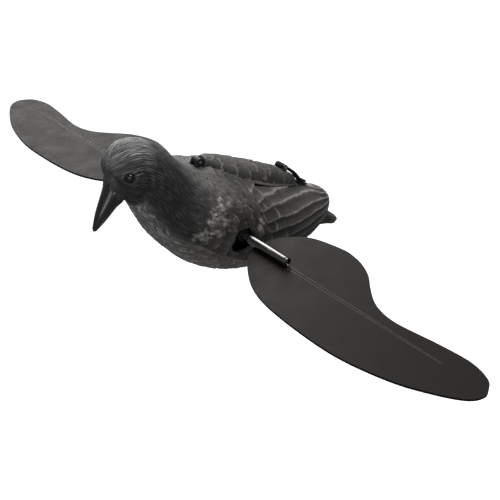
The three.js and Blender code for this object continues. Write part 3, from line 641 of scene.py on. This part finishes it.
    # The wing's pale leading line, a rubbed patch on the shoulder and a pale spot by the window.
    pale_line = near(over_edge + 1.2 * wobble, 1.3) * smooth(y, -98, -80) * (1 - smooth(y, 20, 50))
    relief += 0.7 * smooth(over_edge, -1.5, 0.5) * pale_line
    light += 0.075 * pale_line * smooth(z, 18, 30)
    far_from = ((y + 74) / 14) ** 2 + ((z - 101 - 0.75 * (y + 74)) / 13) ** 2
    rub = smooth(1.5 * wander(x, y * 0.6, z, 5.5, 3.0) - far_from, -1.15, 0.1) * (side > 30)
    crackle = near(wander(x, y * 0.6, z, 5.0, 6.0, 2), 0.10)
    grit = wander(x, y, z, 2.4, 7.0)
    relief += rub * (0.8 * grit - 1.8 * crackle + 0.4)
    light = light * (1 - 0.6 * rub) + rub * np.clip(0.23 + 0.16 * grit - 0.26 * crackle, 0.01, 1)
    spot = 0.9 * wander(x, y, z, 7.0, 11.0) - ((y + 30.5) / 7) ** 2 - ((z - 85) / 9) ** 2
    spot = smooth(spot, -0.9, -0.3) * (side > 40)
    light = light * (1 - spot) + 0.26 * spot
    shadow = np.exp(-(((y - SPIN[0]) / 26) ** 2 + ((z - 66) / 22) ** 2)) * (side > 40)
    light *= 1 - 0.35 * shadow
    light = np.clip(light * (1 + 0.10 * wander(x, y, z, 4.2, 8.0)), 0.008, 0.5)

    # The back swells up to the lid's front edges.
    t = (y - HINGE[0]) * math.cos(BACK_SLOPE) - (z - HINGE[1]) * math.sin(BACK_SLOPE)
    lid_half = np.interp(t, [row[0] for row in LID], [row[3] for row in LID])
    out = side - lid_half
    swell = 3.4 * smooth(t, 2, 12) * (1 - smooth(t, 42, 60))
    swell = swell * (out > 0.6) * (1 - smooth(out, 2, 20)) * (z > 90)
    groove = near(out - 0.9, 0.9) * smooth(t, 6, 10) * (1 - smooth(t, 52, 60)) * (z > 90)
    groove *= 0.55 + 0.45 * np.clip(2.5 * wander(x, y, z, 5.0, 13.0), -1, 1)
    # The groove along the lid's sides is painted dark as painted shade.
    light = light * (1 - 0.85 * groove)
    swell = swell - 1.2 * groove
    warm = tinted(light, (1.03, 0.985, 0.93))
    cool = tinted(light, (0.99, 1.0, 1.0))
    mix = np.clip(smooth(place, 7.0, 9.0), 0, 1)[..., None]
    return 1.15 * relief, swell, warm * (1 - mix) + cool * mix


def paint_mesh(thing, points, colours, flows, inner=(0.014, 0.014, 0.015), reach=0.95):
    """Stores paint and feather direction on a mesh, from the nearest point of the dense grid it was cut
    from. What is further than reach from that grid stays bare plastic."""
    tree = KDTree(len(points))
    for i, point in enumerate(points.tolist()):
        tree.insert(point, i)
    tree.balance()
    mesh = thing.data
    paint = np.empty((len(mesh.vertices), 4), np.float32)
    flow = np.zeros((len(mesh.vertices), 3), np.float32)
    for i, vertex in enumerate(mesh.vertices):
        _, nearest, distance = tree.find(vertex.co / MM)
        if distance < reach:
            paint[i, :3] = colours[nearest]
            flow[i, :2] = flows[nearest]
        else:
            paint[i, :3] = inner
            flow[i, :2] = vertex.co.xz / MM
    paint[:, 3] = 1
    mesh.attributes.new("paint", "FLOAT_COLOR", "POINT").data.foreach_set("color", paint.ravel())
    mesh.attributes.new("flow", "FLOAT_VECTOR", "POINT").data.foreach_set("vector", flow.ravel())


# ------------------------------------------------------------------ shells

GRID = 1.15
PLUMAGE = plumage_material()


def body_surface():
    """The dense body with feather relief: its mesh, points, paint and feather directions."""
    rows, places = smoothed(BODY, steps_for(BODY, GRID))
    sides = 344
    angles = ring_angles(sides)
    points = ring_points(rows, angles)
    middles = (rows[:, 0:2] + rows[:, 2:4]) / 2
    path = np.concatenate([[0], np.cumsum(np.linalg.norm(np.diff(middles, axis=0), axis=1))])
    along = np.broadcast_to((path[-1] - path)[:, None], points.shape[:2])
    angle = np.broadcast_to(rise_angle(angles)[None, :], points.shape[:2])
    place = np.broadcast_to(places[:, None], points.shape[:2])
    radius = np.broadcast_to(rows[:, 4:5], angle.shape)
    relief, swell, colours = plumage(*np.moveaxis(points, -1, 0), place, angle, along, radius)
    ends = np.minimum(smooth(path, 0, 4), smooth(path[-1] - path, 0, 3))[:, None]
    under = smooth(points[..., 2], -1, 9)
    moved = points + grid_normals(points) * (relief * ends * under)[..., None]
    moved[..., 1] += swell * math.sin(BACK_SLOPE)
    moved[..., 2] += swell * math.cos(BACK_SLOPE)
    flows = np.stack([along, np.radians(angle) * rows[:, 4:5]], axis=-1)
    return moved, colours, flows


def tail_surface():
    """The tail's folded feathers, in the same form as the body."""
    rows, _ = smoothed(TAIL, steps_for(TAIL, 1.4))
    sides = 120
    angles = ring_angles(sides)
    points = ring_points(rows, angles)
    x, y = np.abs(points[..., 0]), points[..., 1]
    pitch = 6.2
    fan = (x * (1 + 0.006 * (y - 70))) / pitch
    fold = fan - np.floor(fan)
    edge = near(np.minimum(fold, 1 - fold) * pitch, 0.7)
    tips = smooth(x / 21 + (y - 150) / 60 + 0.35 * scatter(np.floor(fan), 0, 2.0), 0.72, 0.80)
    light = (0.030 + 0.12 * edge) * (1 - 0.15 * tips)
    moved = points + grid_normals(points) * (0.8 * fold - 0.3)[..., None]
    colours = tinted(light, (1.04, 0.98, 0.92))
    return moved, colours, np.stack([y, x], axis=-1)


def lid_outline(grow, first):
    """The lid's outline in plan, grown by some millimetres, from one of its stations to its rear."""
    end = LID[-1][0] + grow
    edge = [(row[3] + grow, row[0]) for row in LID[first:] if row[3] + grow > 2.5 and row[0] < end]
    edge.append((2, end))
    return edge + [(-x, t) for x, t in reversed(edge)]


def obround(y, z, width, height):
    radius = width / 2
    reach = height / 2 - radius
    upper = circle(y, z + reach, radius, 20, 0, math.pi)
    return upper + circle(y, z - reach, radius, 20, math.pi, 2 * math.pi)


def shell_cutters():
    """What is cut from the feathered skin, so that it matches the openings in the frame's shell."""
    window = obround(SPIN[0], WINDOW["z"], WINDOW["width"], WINDOW["height"])
    simple = [prism("w", window, 40, 90, ALONG_X), prism("w", window, -90, -40, ALONG_X)]
    simple += [cylinder("s", SCREW_HOLE, (-95, y, z), (seat, y, z)) for y, z, seat in SCREWS]
    for side in (-1, 1):
        ear, half = HINGE_X + side * EAR["middle"], EAR["half"]
        simple.append(box("h", (ear - half, -4.4, -14), (ear + half, 4.4, 12), BACK))
    for side in (-1, 1):
        start = Vector((side * (EYE[0] - EYE_SOCKET["depth"]), EYE[1], EYE[2]))
        turns = [math.pi * k / 24 for k in range(1, 24)]
        radius = EYE_SOCKET["radius"]
        profile = [(radius * math.sin(turn), 9 - radius * math.cos(turn)) for turn in turns]
        simple.append(lathe("e", profile, start, (side, 0, 0)))
    simple.append(on_back("l", STUD["hole"], (0, STUD["t"], -12), (0, STUD["t"], 6)))
    simple.append(cylinder("k", SOCKET_HOLE, (0, 0, -8), (0, 0, 43), 48))
    simple.append(box("p", *SWITCH_HOLE))
    simple.append(cylinder("b", BILL_HOLE, (0, -158, 153), (0, -128, 148)))
    # The recess is cut wider than the lid, so a band of bare dark plastic shows round it as a painted shadow
    # gap.
    recess = prism("r", lid_outline(4.6, 4), -18, 12, BACK)
    hatch = prism("t", lid_outline(-6, 2), -40, 12, BACK)
    return [joined("cuts", simple), recess, hatch]


def inner_loft(stations, grow, name):
    rows, _ = smoothed(stations, steps_for(stations, 4.0))
    return closed_skin(name, ring_points(rows, ring_angles(96), grow))


def frame_copy(node, name):
    """A free copy of a frame node's mesh, to combine with pieces of the scene's own."""
    thing = bpy.data.objects.new(name, nodes[node].data.copy())
    bpy.context.scene.collection.objects.link(thing)
    thing.data.materials.clear()
    welded = bmesh.new()
    welded.from_mesh(thing.data)
    bmesh.ops.remove_doubles(welded, verts=welded.verts, dist=0.002 * MM)
    welded.to_mesh(thing.data)
    welded.free()
    return thing


def shells():
    """The two feathered halves, each with the bosses and ribs inside the frame's own shell."""
    moved, colours, flows = body_surface()
    tail_points, tail_colours, tail_flows = tail_surface()
    skin = closed_skin("skin", moved, 1.5)
    combine(skin, closed_skin("tail", tail_points, 0.8), "UNION")
    combine(skin, inner_loft(BODY[1:-1], -SHELL_WALL, "room"), "DIFFERENCE")
    for cutter in shell_cutters():
        combine(skin, cutter, "DIFFERENCE")
    all_points = np.vstack([moved.reshape(-1, 3), tail_points.reshape(-1, 3)])
    all_colours = np.vstack([colours.reshape(-1, 3), tail_colours.reshape(-1, 3)])
    all_flows = np.vstack([flows.reshape(-1, 2), tail_flows.reshape(-1, 2)])
    for side, sign in (("left", 1), ("right", -1)):
        half = skin.copy()
        half.data = skin.data.copy()
        half.name = f"plumage_{side}"
        bpy.context.scene.collection.objects.link(half)
        low, high = sorted((sign * SPLIT, sign * 130))
        combine(half, box("half", (low, -220, -60), (high, 220, 260)), "INTERSECT")
        fittings = frame_copy(f"body_shell_{side}", "fittings")
        combine(fittings, inner_loft(BODY, -1.3, "within"), "INTERSECT")
        combine(half, fittings, "UNION")
        paint_mesh(half, all_points, all_colours, all_flows)
        shade(half, 50)
        add(half, PLUMAGE, "decoy_body", "plumage", f"body_shell_{side}")
    bpy.data.objects.remove(skin)


shells()

# ------------------------------------------------------------------ lid


def lid():
    """The feathered battery cover: a domed skin over the lid stations, on a thin wall."""
    knots = [(t, rim, t, crown, w, 0, 0, 0) for t, rim, crown, w in LID]
    spacing = [max(1, round((b[0] - a[0]) / 1.0)) for a, b in zip(LID, LID[1:])]
    rows, _ = smoothed(knots, spacing)
    angles = np.linspace(0, math.pi, 91)
    power = 2 / 2.3

    def dome(inset, drop):
        across = np.sign(np.cos(angles)) * np.abs(np.cos(angles)) ** power * (rows[:, 4:5] - inset)
        rise = np.abs(np.sin(angles)) ** power * (rows[:, 3:4] - inset - rows[:, 1:2])
        along = np.broadcast_to(rows[:, 0:1], across.shape)
        points = np.stack([across, along, rows[:, 1:2] + rise], axis=-1)
        points[:, 0, 2] -= drop
        points[:, -1, 2] -= drop
        return points

    outer = dome(0.0, 0.8)
    x, t = outer[..., 0], outer[..., 1]
    level = (outer[..., 2] - rows[:, 1:2]) / np.maximum(rows[:, 3:4] - rows[:, 1:2], 1)
    bend = t + 3 + 3.0 * wander(x, t, x, 15.0)
    depth, across, number = shingles(bend, x + 2.4 * wander(x, t, t, 13.0), 19.0, 15.0, 9.0, 0.6, 12.0)
    relief = 1.3 * (np.clip(1 - depth / 24, 0, 1) - 0.3 * across**2)
    rim = near(level - 0.07, 0.08)
    pale = near(depth, 1.2) * (0.5 + 0.6 * number)
    front = 1 - smooth(t, 14, 40)
    # The hollow deep under each feather above is painted darker as painted shade.
    light = (0.050 + 0.24 * pale) * (0.8 + 0.4 * number) * (1 - 0.45 * smooth(depth, 7, 22))
    # A bright line along the lid's rim, from the middle back, is a painted highlight.
    light = light + 0.36 * rim * smooth(t, 28, 60)
    light = np.clip(light * (1 + 0.12 * wander(x, t, x, 3.1, 2.0)) - 0.02 * front, 0.01, 0.5)
    edge_on = smooth(level, 0.02, 0.2) * smooth(t, 8, 11) * (1 - smooth(t, 150, 156))
    # Random dents along the front low edge are pushed in and painted dark as painted shade.
    gaps = smooth(wander(x, t, x, 1.7, 4.0), 0.35, 0.8) * front * (1 - smooth(level, 0.12, 0.3))
    light *= 1 - 0.8 * gaps
    # The outermost edges of the lid are painted near black as the painted shade of the gap under it.
    light[:, 0] = light[:, -1] = 0.006
    points = outer.copy()
    points[..., 2] += relief * edge_on - 0.9 * gaps
    inner = dome(2.6, 3.4)
    place = np.array(BACK)

    def world(grid):
        return grid @ place[:3, :3].T + place[:3, 3]

    cover = walled_skin("feathered_lid", world(points), world(inner), 50)
    clear = inner_loft(BODY, 0.3, "clear")
    combine(clear, box("rear", (-60, 50.5, -60), (60, 200, 60), BACK), "DIFFERENCE")
    combine(cover, clear, "DIFFERENCE")
    colours = tinted(light, (1.02, 0.99, 0.94)).reshape(-1, 3)
    flows = np.stack([t, x], axis=-1).reshape(-1, 2)
    paint_mesh(cover, world(points).reshape(-1, 3), colours, flows)
    shade(cover, 50)
    add(cover, PLUMAGE, "lid", "plumage", "battery_lid")


lid()

# ------------------------------------------------------------------ other materials

BLADE_SKIN = moulded("wing_sheet_face", (0.0098, 0.0085, 0.0074), 0.5, 1400, 0.00003, 0.10,
                     streak=(1, 0.15, 1), Specular_IOR_Level=0.1, Specular_Tint=(1.0, 0.94, 0.89, 1))
BLADE_EDGE = moulded("wing_sheet_edge", (0.012, 0.012, 0.012), 0.5, 900, 0.00004, 0.3)
CREASE = moulded("wing_crease", (0.05, 0.047, 0.044), 0.4, 900, 0.00003, 0.15)
BILL_LOOK = moulded("bill_gloss", (0.012, 0.0125, 0.014), 0.3, 350, 0.00002, 0.4,
                    Coat_Weight=0.6, Coat_Roughness=0.12)
EYE_LOOK = moulded("eye_bead", (0.004, 0.004, 0.005), 0.14, 200, 0.00001, 0.3,
                   Coat_Weight=0.5, Coat_Roughness=0.06)
BLACK = moulded("black_moulding", (0.016, 0.016, 0.017), 0.45, 1200, 0.00006, 0.3)
GREY_MOULDING = moulded("lid_back_moulding", (0.03, 0.029, 0.028), 0.5, 900, 0.00006, 0.3)
RUBBER = moulded("black_rubber", (0.008, 0.008, 0.008), 0.66, 1600, 0.0001, 0.35, Specular_IOR_Level=0.2)
NICKEL = moulded("dark_nickel", (0.20, 0.195, 0.19), 0.2, 700, 0.000006, 0.14, 1.0, streak=(0.12, 1, 1))
STEEL = moulded("bright_steel", (0.62, 0.61, 0.6), 0.2, 700, 0.00003, 0.12, 1.0, streak=(0.15, 1, 1))
ZINC = moulded("zinc_screws", (0.40, 0.39, 0.38), 0.34, 1100, 0.00004, 0.2, 1.0)
CAN = moulded("motor_can", (0.50, 0.50, 0.49), 0.36, 500, 0.00004, 0.12, 1.0, streak=(0.1, 1, 1))
TRAY_LOOK = moulded("tray_moulding", (0.02, 0.02, 0.021), 0.5, 900, 0.00006, 0.3)
RED_LEAD = moulded("red_insulation", (0.30, 0.016, 0.012), 0.42, 800, 0.00003, 0.2)
BLACK_LEAD = moulded("black_insulation", (0.012, 0.012, 0.012), 0.42, 800, 0.00003, 0.3)


def cell_material():
    """A dry cell's printed sleeve: a dark green body with a copper band at one end."""
    n = Nodes("cell_sleeve")
    source = n.add("ShaderNodeTexCoord")
    parts = n.add("ShaderNodeSeparateXYZ")
    n.link(source.outputs["Generated"], parts.inputs[0])
    band = n.math("GREATER_THAN", parts.outputs["Y"], 0.74)
    fine = n.noise(900, 2.0, n.coordinates())
    tint = n.mix(band, (0.014, 0.07, 0.035), (0.42, 0.19, 0.06))
    tint = n.mix(n.span(fine, 0.0, 0.2), tint, (0.05, 0.05, 0.05))
    return n.finish(tint, n.span(fine, 0.24, 0.36), n.bump(fine, 0.00003), Metallic=0.2)


# ------------------------------------------------------------------ bill and eyes


def bill():
    rows, _ = smoothed(BILL, steps_for(BILL, 0.6))
    sides = 128
    angles = ring_angles(sides)
    points = ring_points(rows, angles)
    share = np.linspace(0, 1, len(rows))[:, None]
    angle = rise_angle(angles)[None, :]
    gape = near(angle + 12 - 10 * share, 3.2) * (1 - smooth(share, 0.86, 0.97))
    ridge = near(90 - angle, 16)
    nostril = np.exp(-(((share - 0.22) / 0.07) ** 2 + ((angle - 34) / 9) ** 2))
    bristles = (1 - smooth(share, 0.1, 0.36)) * smooth(angle, 0, 50) * 0.35
    bristles = bristles * np.sin(angle * 0.9 + 12 * share)
    relief = -0.75 * gape + 0.35 * ridge - 0.9 * nostril + bristles
    fade = smooth(share, 0.0, 0.04) * (1 - 0.7 * smooth(share, 0.8, 1.0))
    horn = closed_skin("bill_horn", points + grid_normals(points) * (relief * fade)[..., None], 2.0)
    add(horn, BILL_LOOK, "decoy_body", "bill", "bill")


def face_feathers():
    """Bristly feathers that run down over the bill's root."""
    last = 0.9
    rows, places = smoothed(BILL, steps_for(BILL, 0.7))
    rows, places = rows[places <= last], places[places <= last]
    sides = 160
    angles = ring_angles(sides)
    angle, place = np.broadcast_arrays(rise_angle(angles)[None, :], places[:, None])
    share = place / last
    round_bill = np.radians(angle) * 11
    ragged = 0.5 * scatter(np.floor(np.arange(sides) / 2.5), 4.0, 1.0)[None, :]
    barb = streaks(place * 24.0, round_bill, 1.7, 8.0, 41.0)
    thick = 1.5 * (1 - share) ** 0.7 + 0.5 * (barb - 0.4) - 1.6 * smooth(share + ragged, 0.95, 1.3) + 0.1
    points = ring_points(rows, angles)
    # The upper side is painted lighter as a painted sheen.
    light = (0.020 + 0.075 * barb) * (1 + 0.9 * smooth(angle, 15, 70))
    moved = points + grid_normals(points) * thick[..., None]
    sleeve = closed_skin("face_bristles", moved)
    colours = np.repeat(light[..., None], 3, axis=-1)
    flows = np.stack([place * 20, round_bill], axis=-1)
    paint_mesh(sleeve, moved.reshape(-1, 3), colours.reshape(-1, 3), flows.reshape(-1, 2))
    add(sleeve, PLUMAGE, "decoy_body", "plumage")


def eyes():
    for name, side in (("left", 1), ("right", -1)):
        profile = []
        for k in range(33):
            turn = math.pi * k / 32
            radius = EYE_RADIUS * math.sin(turn)
            along = -EYE_RADIUS * math.cos(turn)
            cornea = 0.45 * max(0.0, 1 - (radius / 3.1) ** 2) if along > 0 else 0.0
            groove = 0.18 * math.exp(-((radius - 3.4) / 0.3) ** 2) if along > 0 else 0.0
            profile.append((max(radius, 0.02), along + cornea - groove))
        centre = Vector((side * (EYE[0] - 0.3), EYE[1], EYE[2]))
        bead = lathe(f"eye_bead_{name}", profile, centre, (side, -0.25, 0.1), 48, None)
        add(bead, EYE_LOOK, "decoy_body", "eye", f"eye_{name}")


bill()
face_feathers()
eyes()

# ------------------------------------------------------------------ wings


def spline(points, steps):
    """A closed smooth outline through the points."""
    count, result = len(points), []
    knots = np.array(points, float)
    for i in range(count):
        a, b, c, d = (knots[(i + k) % count] for k in (-1, 0, 1, 2))
        for t in np.arange(steps) / steps:
            result.append(catmull_rom(a, b, c, d, t))
    return [tuple(p) for p in result]


FLUTES = (88, 356)
FLUTE_PITCH = 2.9
FLUTE_WIDTH = 2.25
FACE_SHEET = 0.42


def wing_blade(side, sign):
    """Twin-wall sheet: two faces on cross webs, whose open flutes show all round the edge."""
    outline = [(sign * x, SPIN[0] + y) for x, y in spline(WING, 8)]
    low, high = BLADE_TOP - BLADE_THICKNESS, BLADE_TOP
    blade = prism(f"{side}_wing_sheet", outline, low, high)
    first, last = FLUTES
    half = FLUTE_WIDTH / 2
    flutes = []
    for k in range(int((last - first) / FLUTE_PITCH)):
        x = sign * (first + (k + 0.5) * FLUTE_PITCH)
        corner = (x - half, SPIN[0] - 80, low + FACE_SHEET)
        flutes.append(box("f", corner, (x + half, SPIN[0] + 80, high - FACE_SHEET)))
    combine(blade, joined("flutes", flutes), "DIFFERENCE")
    mesh = blade.data
    add(blade, BLADE_SKIN, f"{side}_wing", "wing_sheet", f"{side}_wing_blade")
    mesh.materials.append(BLADE_EDGE)
    for face in mesh.polygons:
        from_middle = abs(face.center.z / MM - (low + high) / 2)
        outside = abs(face.normal.z) > 0.9 and from_middle > BLADE_THICKNESS / 2 - 0.1
        face.material_index = 0 if outside else 1
        face.use_smooth = False


def wing_crease(side, sign):
    """Two fine raised lines over the buried spar, drawing together towards the tip."""
    start, end = 132.5, 316.0
    strips = []
    for edge in (-1, 1):
        rings = []
        for k in range(41):
            share = k / 40
            x = start + (end - start) * share
            middle = edge * (2.0 - 1.5 * share)
            bead = (0.42 - 0.18 * share) * (1 - smooth(np.array(share), 0.93, 1.0) * 0.8)
            y, z = SPIN[0] + middle, BLADE_TOP - 0.1
            rings.append([(sign * x, y + bead * math.cos(a), z + bead * 0.85 * math.sin(a))
                          for a in np.linspace(0, 2 * math.pi, 11)[:-1]])
        strips.append(closed_skin("strip", np.array(rings)))
    crease = joined(f"{side}_wing_crease", strips)
    add(crease, CREASE, f"{side}_wing", "wing_sheet", f"{side}_wing_spar")


def rolled_tube(side, sign):
    """Steel strip rolled into a tube, its long seam open and its ends eased."""
    first, last = TUBE["seam"] + TUBE["slot"], TUBE["seam"] - TUBE["slot"] + 2 * math.pi
    angles = np.linspace(first, last, 61)
    ends = [(0.0, 0.3), (0.12, 0.1), (0.35, 0.0)]
    length = TUBE["end"] - TUBE["start"]
    rows = [(x, ease) for x, ease in ends] + [(length * k / 12, 0.0) for k in range(1, 12)]
    rows += [(length - x, ease) for x, ease in reversed(ends)]
    outer, inner = [], []
    for x, ease in rows:
        out = sign * (TUBE["start"] + x)
        for store, radius in ((outer, TUBE["radius"] - ease), (inner, TUBE["bore"] + ease)):
            store.append([(out, y, z) for y, z in zip(SPIN[0] + radius * np.cos(angles),
                                                      SPIN[1] + radius * np.sin(angles))])
    tube = walled_skin(f"{side}_wing_rolled_tube", np.array(outer), np.array(inner), 35)
    add(tube, NICKEL, f"{side}_wing", "dark_steel", f"{side}_wing_tube")


def wing_rivets(side, sign):
    """Domed rivet heads under the sheet, drawn up through the tube's floor."""
    under = BLADE_TOP - BLADE_THICKNESS
    for number, x in enumerate((97.0, 121.0), 1):
        turns = [math.pi / 2 * k / 8 for k in range(1, 9)]
        profile = [(0.05, -1.5)]
        profile += [(3.1 * math.sin(turn), -0.12 - 1.4 * math.cos(turn)) for turn in turns]
        profile += [(1.5, -0.1), (1.5, 3.6), (1.1, 4.0), (0.05, 4.05)]
        place = (sign * x, SPIN[0], under)
        rivet = lathe(f"{side}_wing_rivet_head_{number}", profile, place, (0, 0, 1), 28)
        add(rivet, ZINC, f"{side}_wing", "dark_steel", f"{side}_wing_rivet_{number}")


for wing_side, wing_sign in (("left", 1), ("right", -1)):
    wing_blade(wing_side, wing_sign)
    wing_crease(wing_side, wing_sign)
    rolled_tube(wing_side, wing_sign)
    wing_rivets(wing_side, wing_sign)


def axle():
    """The steel rod through the bird, a groove near each chamfered end."""
    half, radius = AXLE["half"], AXLE["radius"]
    groove = radius - 0.35
    neck = [(radius - 0.6, 0.0), (radius, 0.6), (radius, 6.0), (groove, 6.3), (groove, 7.3), (radius, 7.6)]
    profile = neck + [(r, 2 * half - a) for r, a in reversed(neck)]
    rod = lathe("cross_axle", profile, (-half, SPIN[0], SPIN[1]), (1, 0, 0), 40)
    add(rod, STEEL, "drive_axle", "bright_steel", "wing_axle")


axle()

# ------------------------------------------------------------------ lid hinge and strap


def lid_arm():
    """The hinge knuckle on its tongue, one bent arm under the lid's front."""
    outline = circle(0, 0, 4.2, 24, math.radians(75), math.radians(285))
    outline += [(3, -3.0), (12, -2.6), (14, 0.4), (12.4, 3.0), (4, 3.4)]
    arm = prism("lid_hinge_arm", outline, HINGE_X - 2.2, HINGE_X + 2.2, BACK @ ALONG_X)
    add(arm, BLACK, "lid", "plumage")
    bevelled(arm, 0.5)


def latch_ears():
    for name, side in (("left", 1), ("right", -1)):
        middle = side * 5.9
        outline = circle(*LATCH, 3.0, 20, -0.35, math.pi + 0.35)
        outline += [(LATCH[0] - 3.4, 7.5), (LATCH[0] + 3.4, 7.5)]
        ear = prism(f"lid_latch_ear_{name}", outline, middle - 1.2, middle + 1.2, BACK @ ALONG_X)
        add(ear, BLACK, "lid", "plumage")
        bevelled(ear, 0.3)


def bevelled(thing, width, segments=2, angle=35):
    modifier = thing.modifiers.new("ease", "BEVEL")
    modifier.width = width * MM
    modifier.segments = segments
    modifier.limit_method = "ANGLE"
    modifier.angle_limit = math.radians(angle)
    modifier.harden_normals = False


def strap():
    """The moulded rubber strap: a pivot eye, a bent band and a holed foot round its stud."""
    middle = np.array([(LATCH[0] + 1.5, 13.6), (131, 13.4), (137, 12.6), (144, 11), (150, 9.2), (156, 6.6),
                       (162, 3.9), (166, 3.0), (171.8, 2.95)])
    knots = np.vstack([2 * middle[0] - middle[1], middle, 2 * middle[-1] - middle[-2]])
    path = []
    for i in range(len(middle) - 1):
        for t in np.arange(6) / 6:
            path.append(catmull_rom(*knots[i:i + 4], t))
    path.append(middle[-1])
    path = np.array(path)
    rings = []
    for i, (t, n) in enumerate(path):
        heading = path[min(i + 1, len(path) - 1)] - path[max(i - 1, 0)]
        heading /= np.linalg.norm(heading)
        on_anchor = t > 163
        half_width = 4.6 - 0.05 * (t - STUD["t"]) ** 2 if on_anchor else 4.0
        half, drop = (1.15, 0.0) if on_anchor else (1.7, 0.55)
        ring = []
        for turn in np.linspace(0, 2 * math.pi, 25)[:-1]:
            across = math.copysign(abs(math.cos(turn)) ** 0.45, math.cos(turn)) * half_width
            rise = math.copysign(abs(math.sin(turn)) ** 0.6, math.sin(turn)) * half
            point = Vector((across, t - heading[1] * rise, n - drop + heading[0] * rise))
            ring.append((BACK @ point)[:])
        rings.append(ring)
    band = closed_skin("rubber_strap", np.array(rings), 0.2, 60)
    combine(band, on_back("eye", 3.1, (-4.1, *LATCH), (4.1, *LATCH)), "UNION")
    combine(band, on_back("hole", 1.85, (-8, *LATCH), (8, *LATCH)), "DIFFERENCE")
    stud = on_back("stud", STUD["clearance"], (0, STUD["t"], -2), (0, STUD["t"], 9))
    combine(band, stud, "DIFFERENCE")
    shade(band, 40)
    add(band, RUBBER, "latch", "rubber", "latch_strap")


lid_arm()
latch_ears()
strap()

# ------------------------------------------------------------------ nodes of the frame that stay

KEPT = {
    BLACK: ("hinge_bracket", "latch_anchor", "stake_socket", "switch_housing", "motor_end_cap_left",
            "motor_end_cap_right", "motor_cradle"),
    RUBBER: ("axle_grommet_left", "axle_grommet_right"),
    GREY_MOULDING: ("switch_rocker",),
    STEEL: ("hinge_pin", "latch_pin", "battery_contact_front", "battery_contact_rear", "motor_strap"),
    ZINC: ("shell_screw_1", "shell_screw_2", "shell_screw_3", "shell_screw_4", "latch_anchor_screw",
           "motor_strap_screw_1", "motor_strap_screw_2", "axle_collar_left", "axle_collar_right"),
    CAN: ("motor_case",),
    TRAY_LOOK: ("battery_tray",),
    cell_material(): ("battery_cell_1", "battery_cell_2", "battery_cell_3", "battery_cell_4"),
    RED_LEAD: ("wire_battery_to_switch", "wire_switch_to_motor"),
    BLACK_LEAD: ("wire_battery_to_motor",),
}
for look, names in KEPT.items():
    for name in names:
        node = nodes[name]
        node.data.materials.clear()
        node.data.materials.append(look)
        shade(node, 35)
        if not name.startswith("wire"):
            bevelled(node, 0.25)

# ------------------------------------------------------------------ floor, light and camera


def studio():
    """A white floor well below the bird, hidden from reflections and bounced light, and three softboxes."""
    floor_material = moulded("studio_floor", (0.86, 0.86, 0.86), 0.8, 40, 0.00001, 0.01)
    reach, level = 150000.0, -1500.0
    corners = [(x * reach, y * reach, level) for x, y in ((-1, -1), (1, -1), (1, 1), (-1, 1))]
    floor = mesh_object("studio_floor_plane", corners, [[0, 1, 2, 3]])
    floor_shader = floor_material.node_tree.nodes["Principled BSDF"].inputs
    floor_shader["Emission Color"].default_value = (1, 1, 1, 1)
    floor_shader["Emission Strength"].default_value = 1.0
    floor.data.materials.append(floor_material)
    floor.visible_diffuse = False
    floor.visible_glossy = False
    world = bpy.data.worlds.new("soft_white")
    world.use_nodes = True
    background = world.node_tree.nodes["Background"].inputs
    background["Color"].default_value = (1, 1, 1, 1)
    background["Strength"].default_value = 0.16
    bpy.context.scene.world = world
    lamps = [
        # place, aim, size, watts
        ((-1.5, 0.7, 1.2), (0, 0, 0.08), 1.5, 42),
        ((0.1, 0.5, 1.9), (0.0, 0, 0.08), 1.2, 26),
        ((1.0, -1.5, 0.7), (0, -0.1, 0.1), 1.1, 9),
    ]
    for number, (place, aim, size, watts) in enumerate(lamps, 1):
        light = bpy.data.lights.new(f"softbox_{number}", "AREA")
        light.shape = "SQUARE"
        light.size = size
        light.energy = watts
        lamp = bpy.data.objects.new(f"softbox_{number}", light)
        lamp.location = place
        lamp.rotation_mode = "QUATERNION"
        lamp.rotation_quaternion = (Vector(place) - Vector(aim)).to_track_quat("Z", "Y")
        bpy.context.scene.collection.objects.link(lamp)
    camera_data = bpy.data.cameras.new("camera")
    camera_data.lens = 65.11
    camera_data.sensor_width = 36
    camera = bpy.data.objects.new("camera", camera_data)
    camera.location = (0.61895, -0.52756, 0.560)
    camera.rotation_mode = "QUATERNION"
    camera.rotation_quaternion = Vector((0.62058, -0.54865, 0.56023)).to_track_quat("Z", "Y")
    bpy.context.scene.collection.objects.link(camera)
    bpy.context.scene.camera = camera
    bpy.context.scene.view_settings.view_transform = "Standard"


studio()
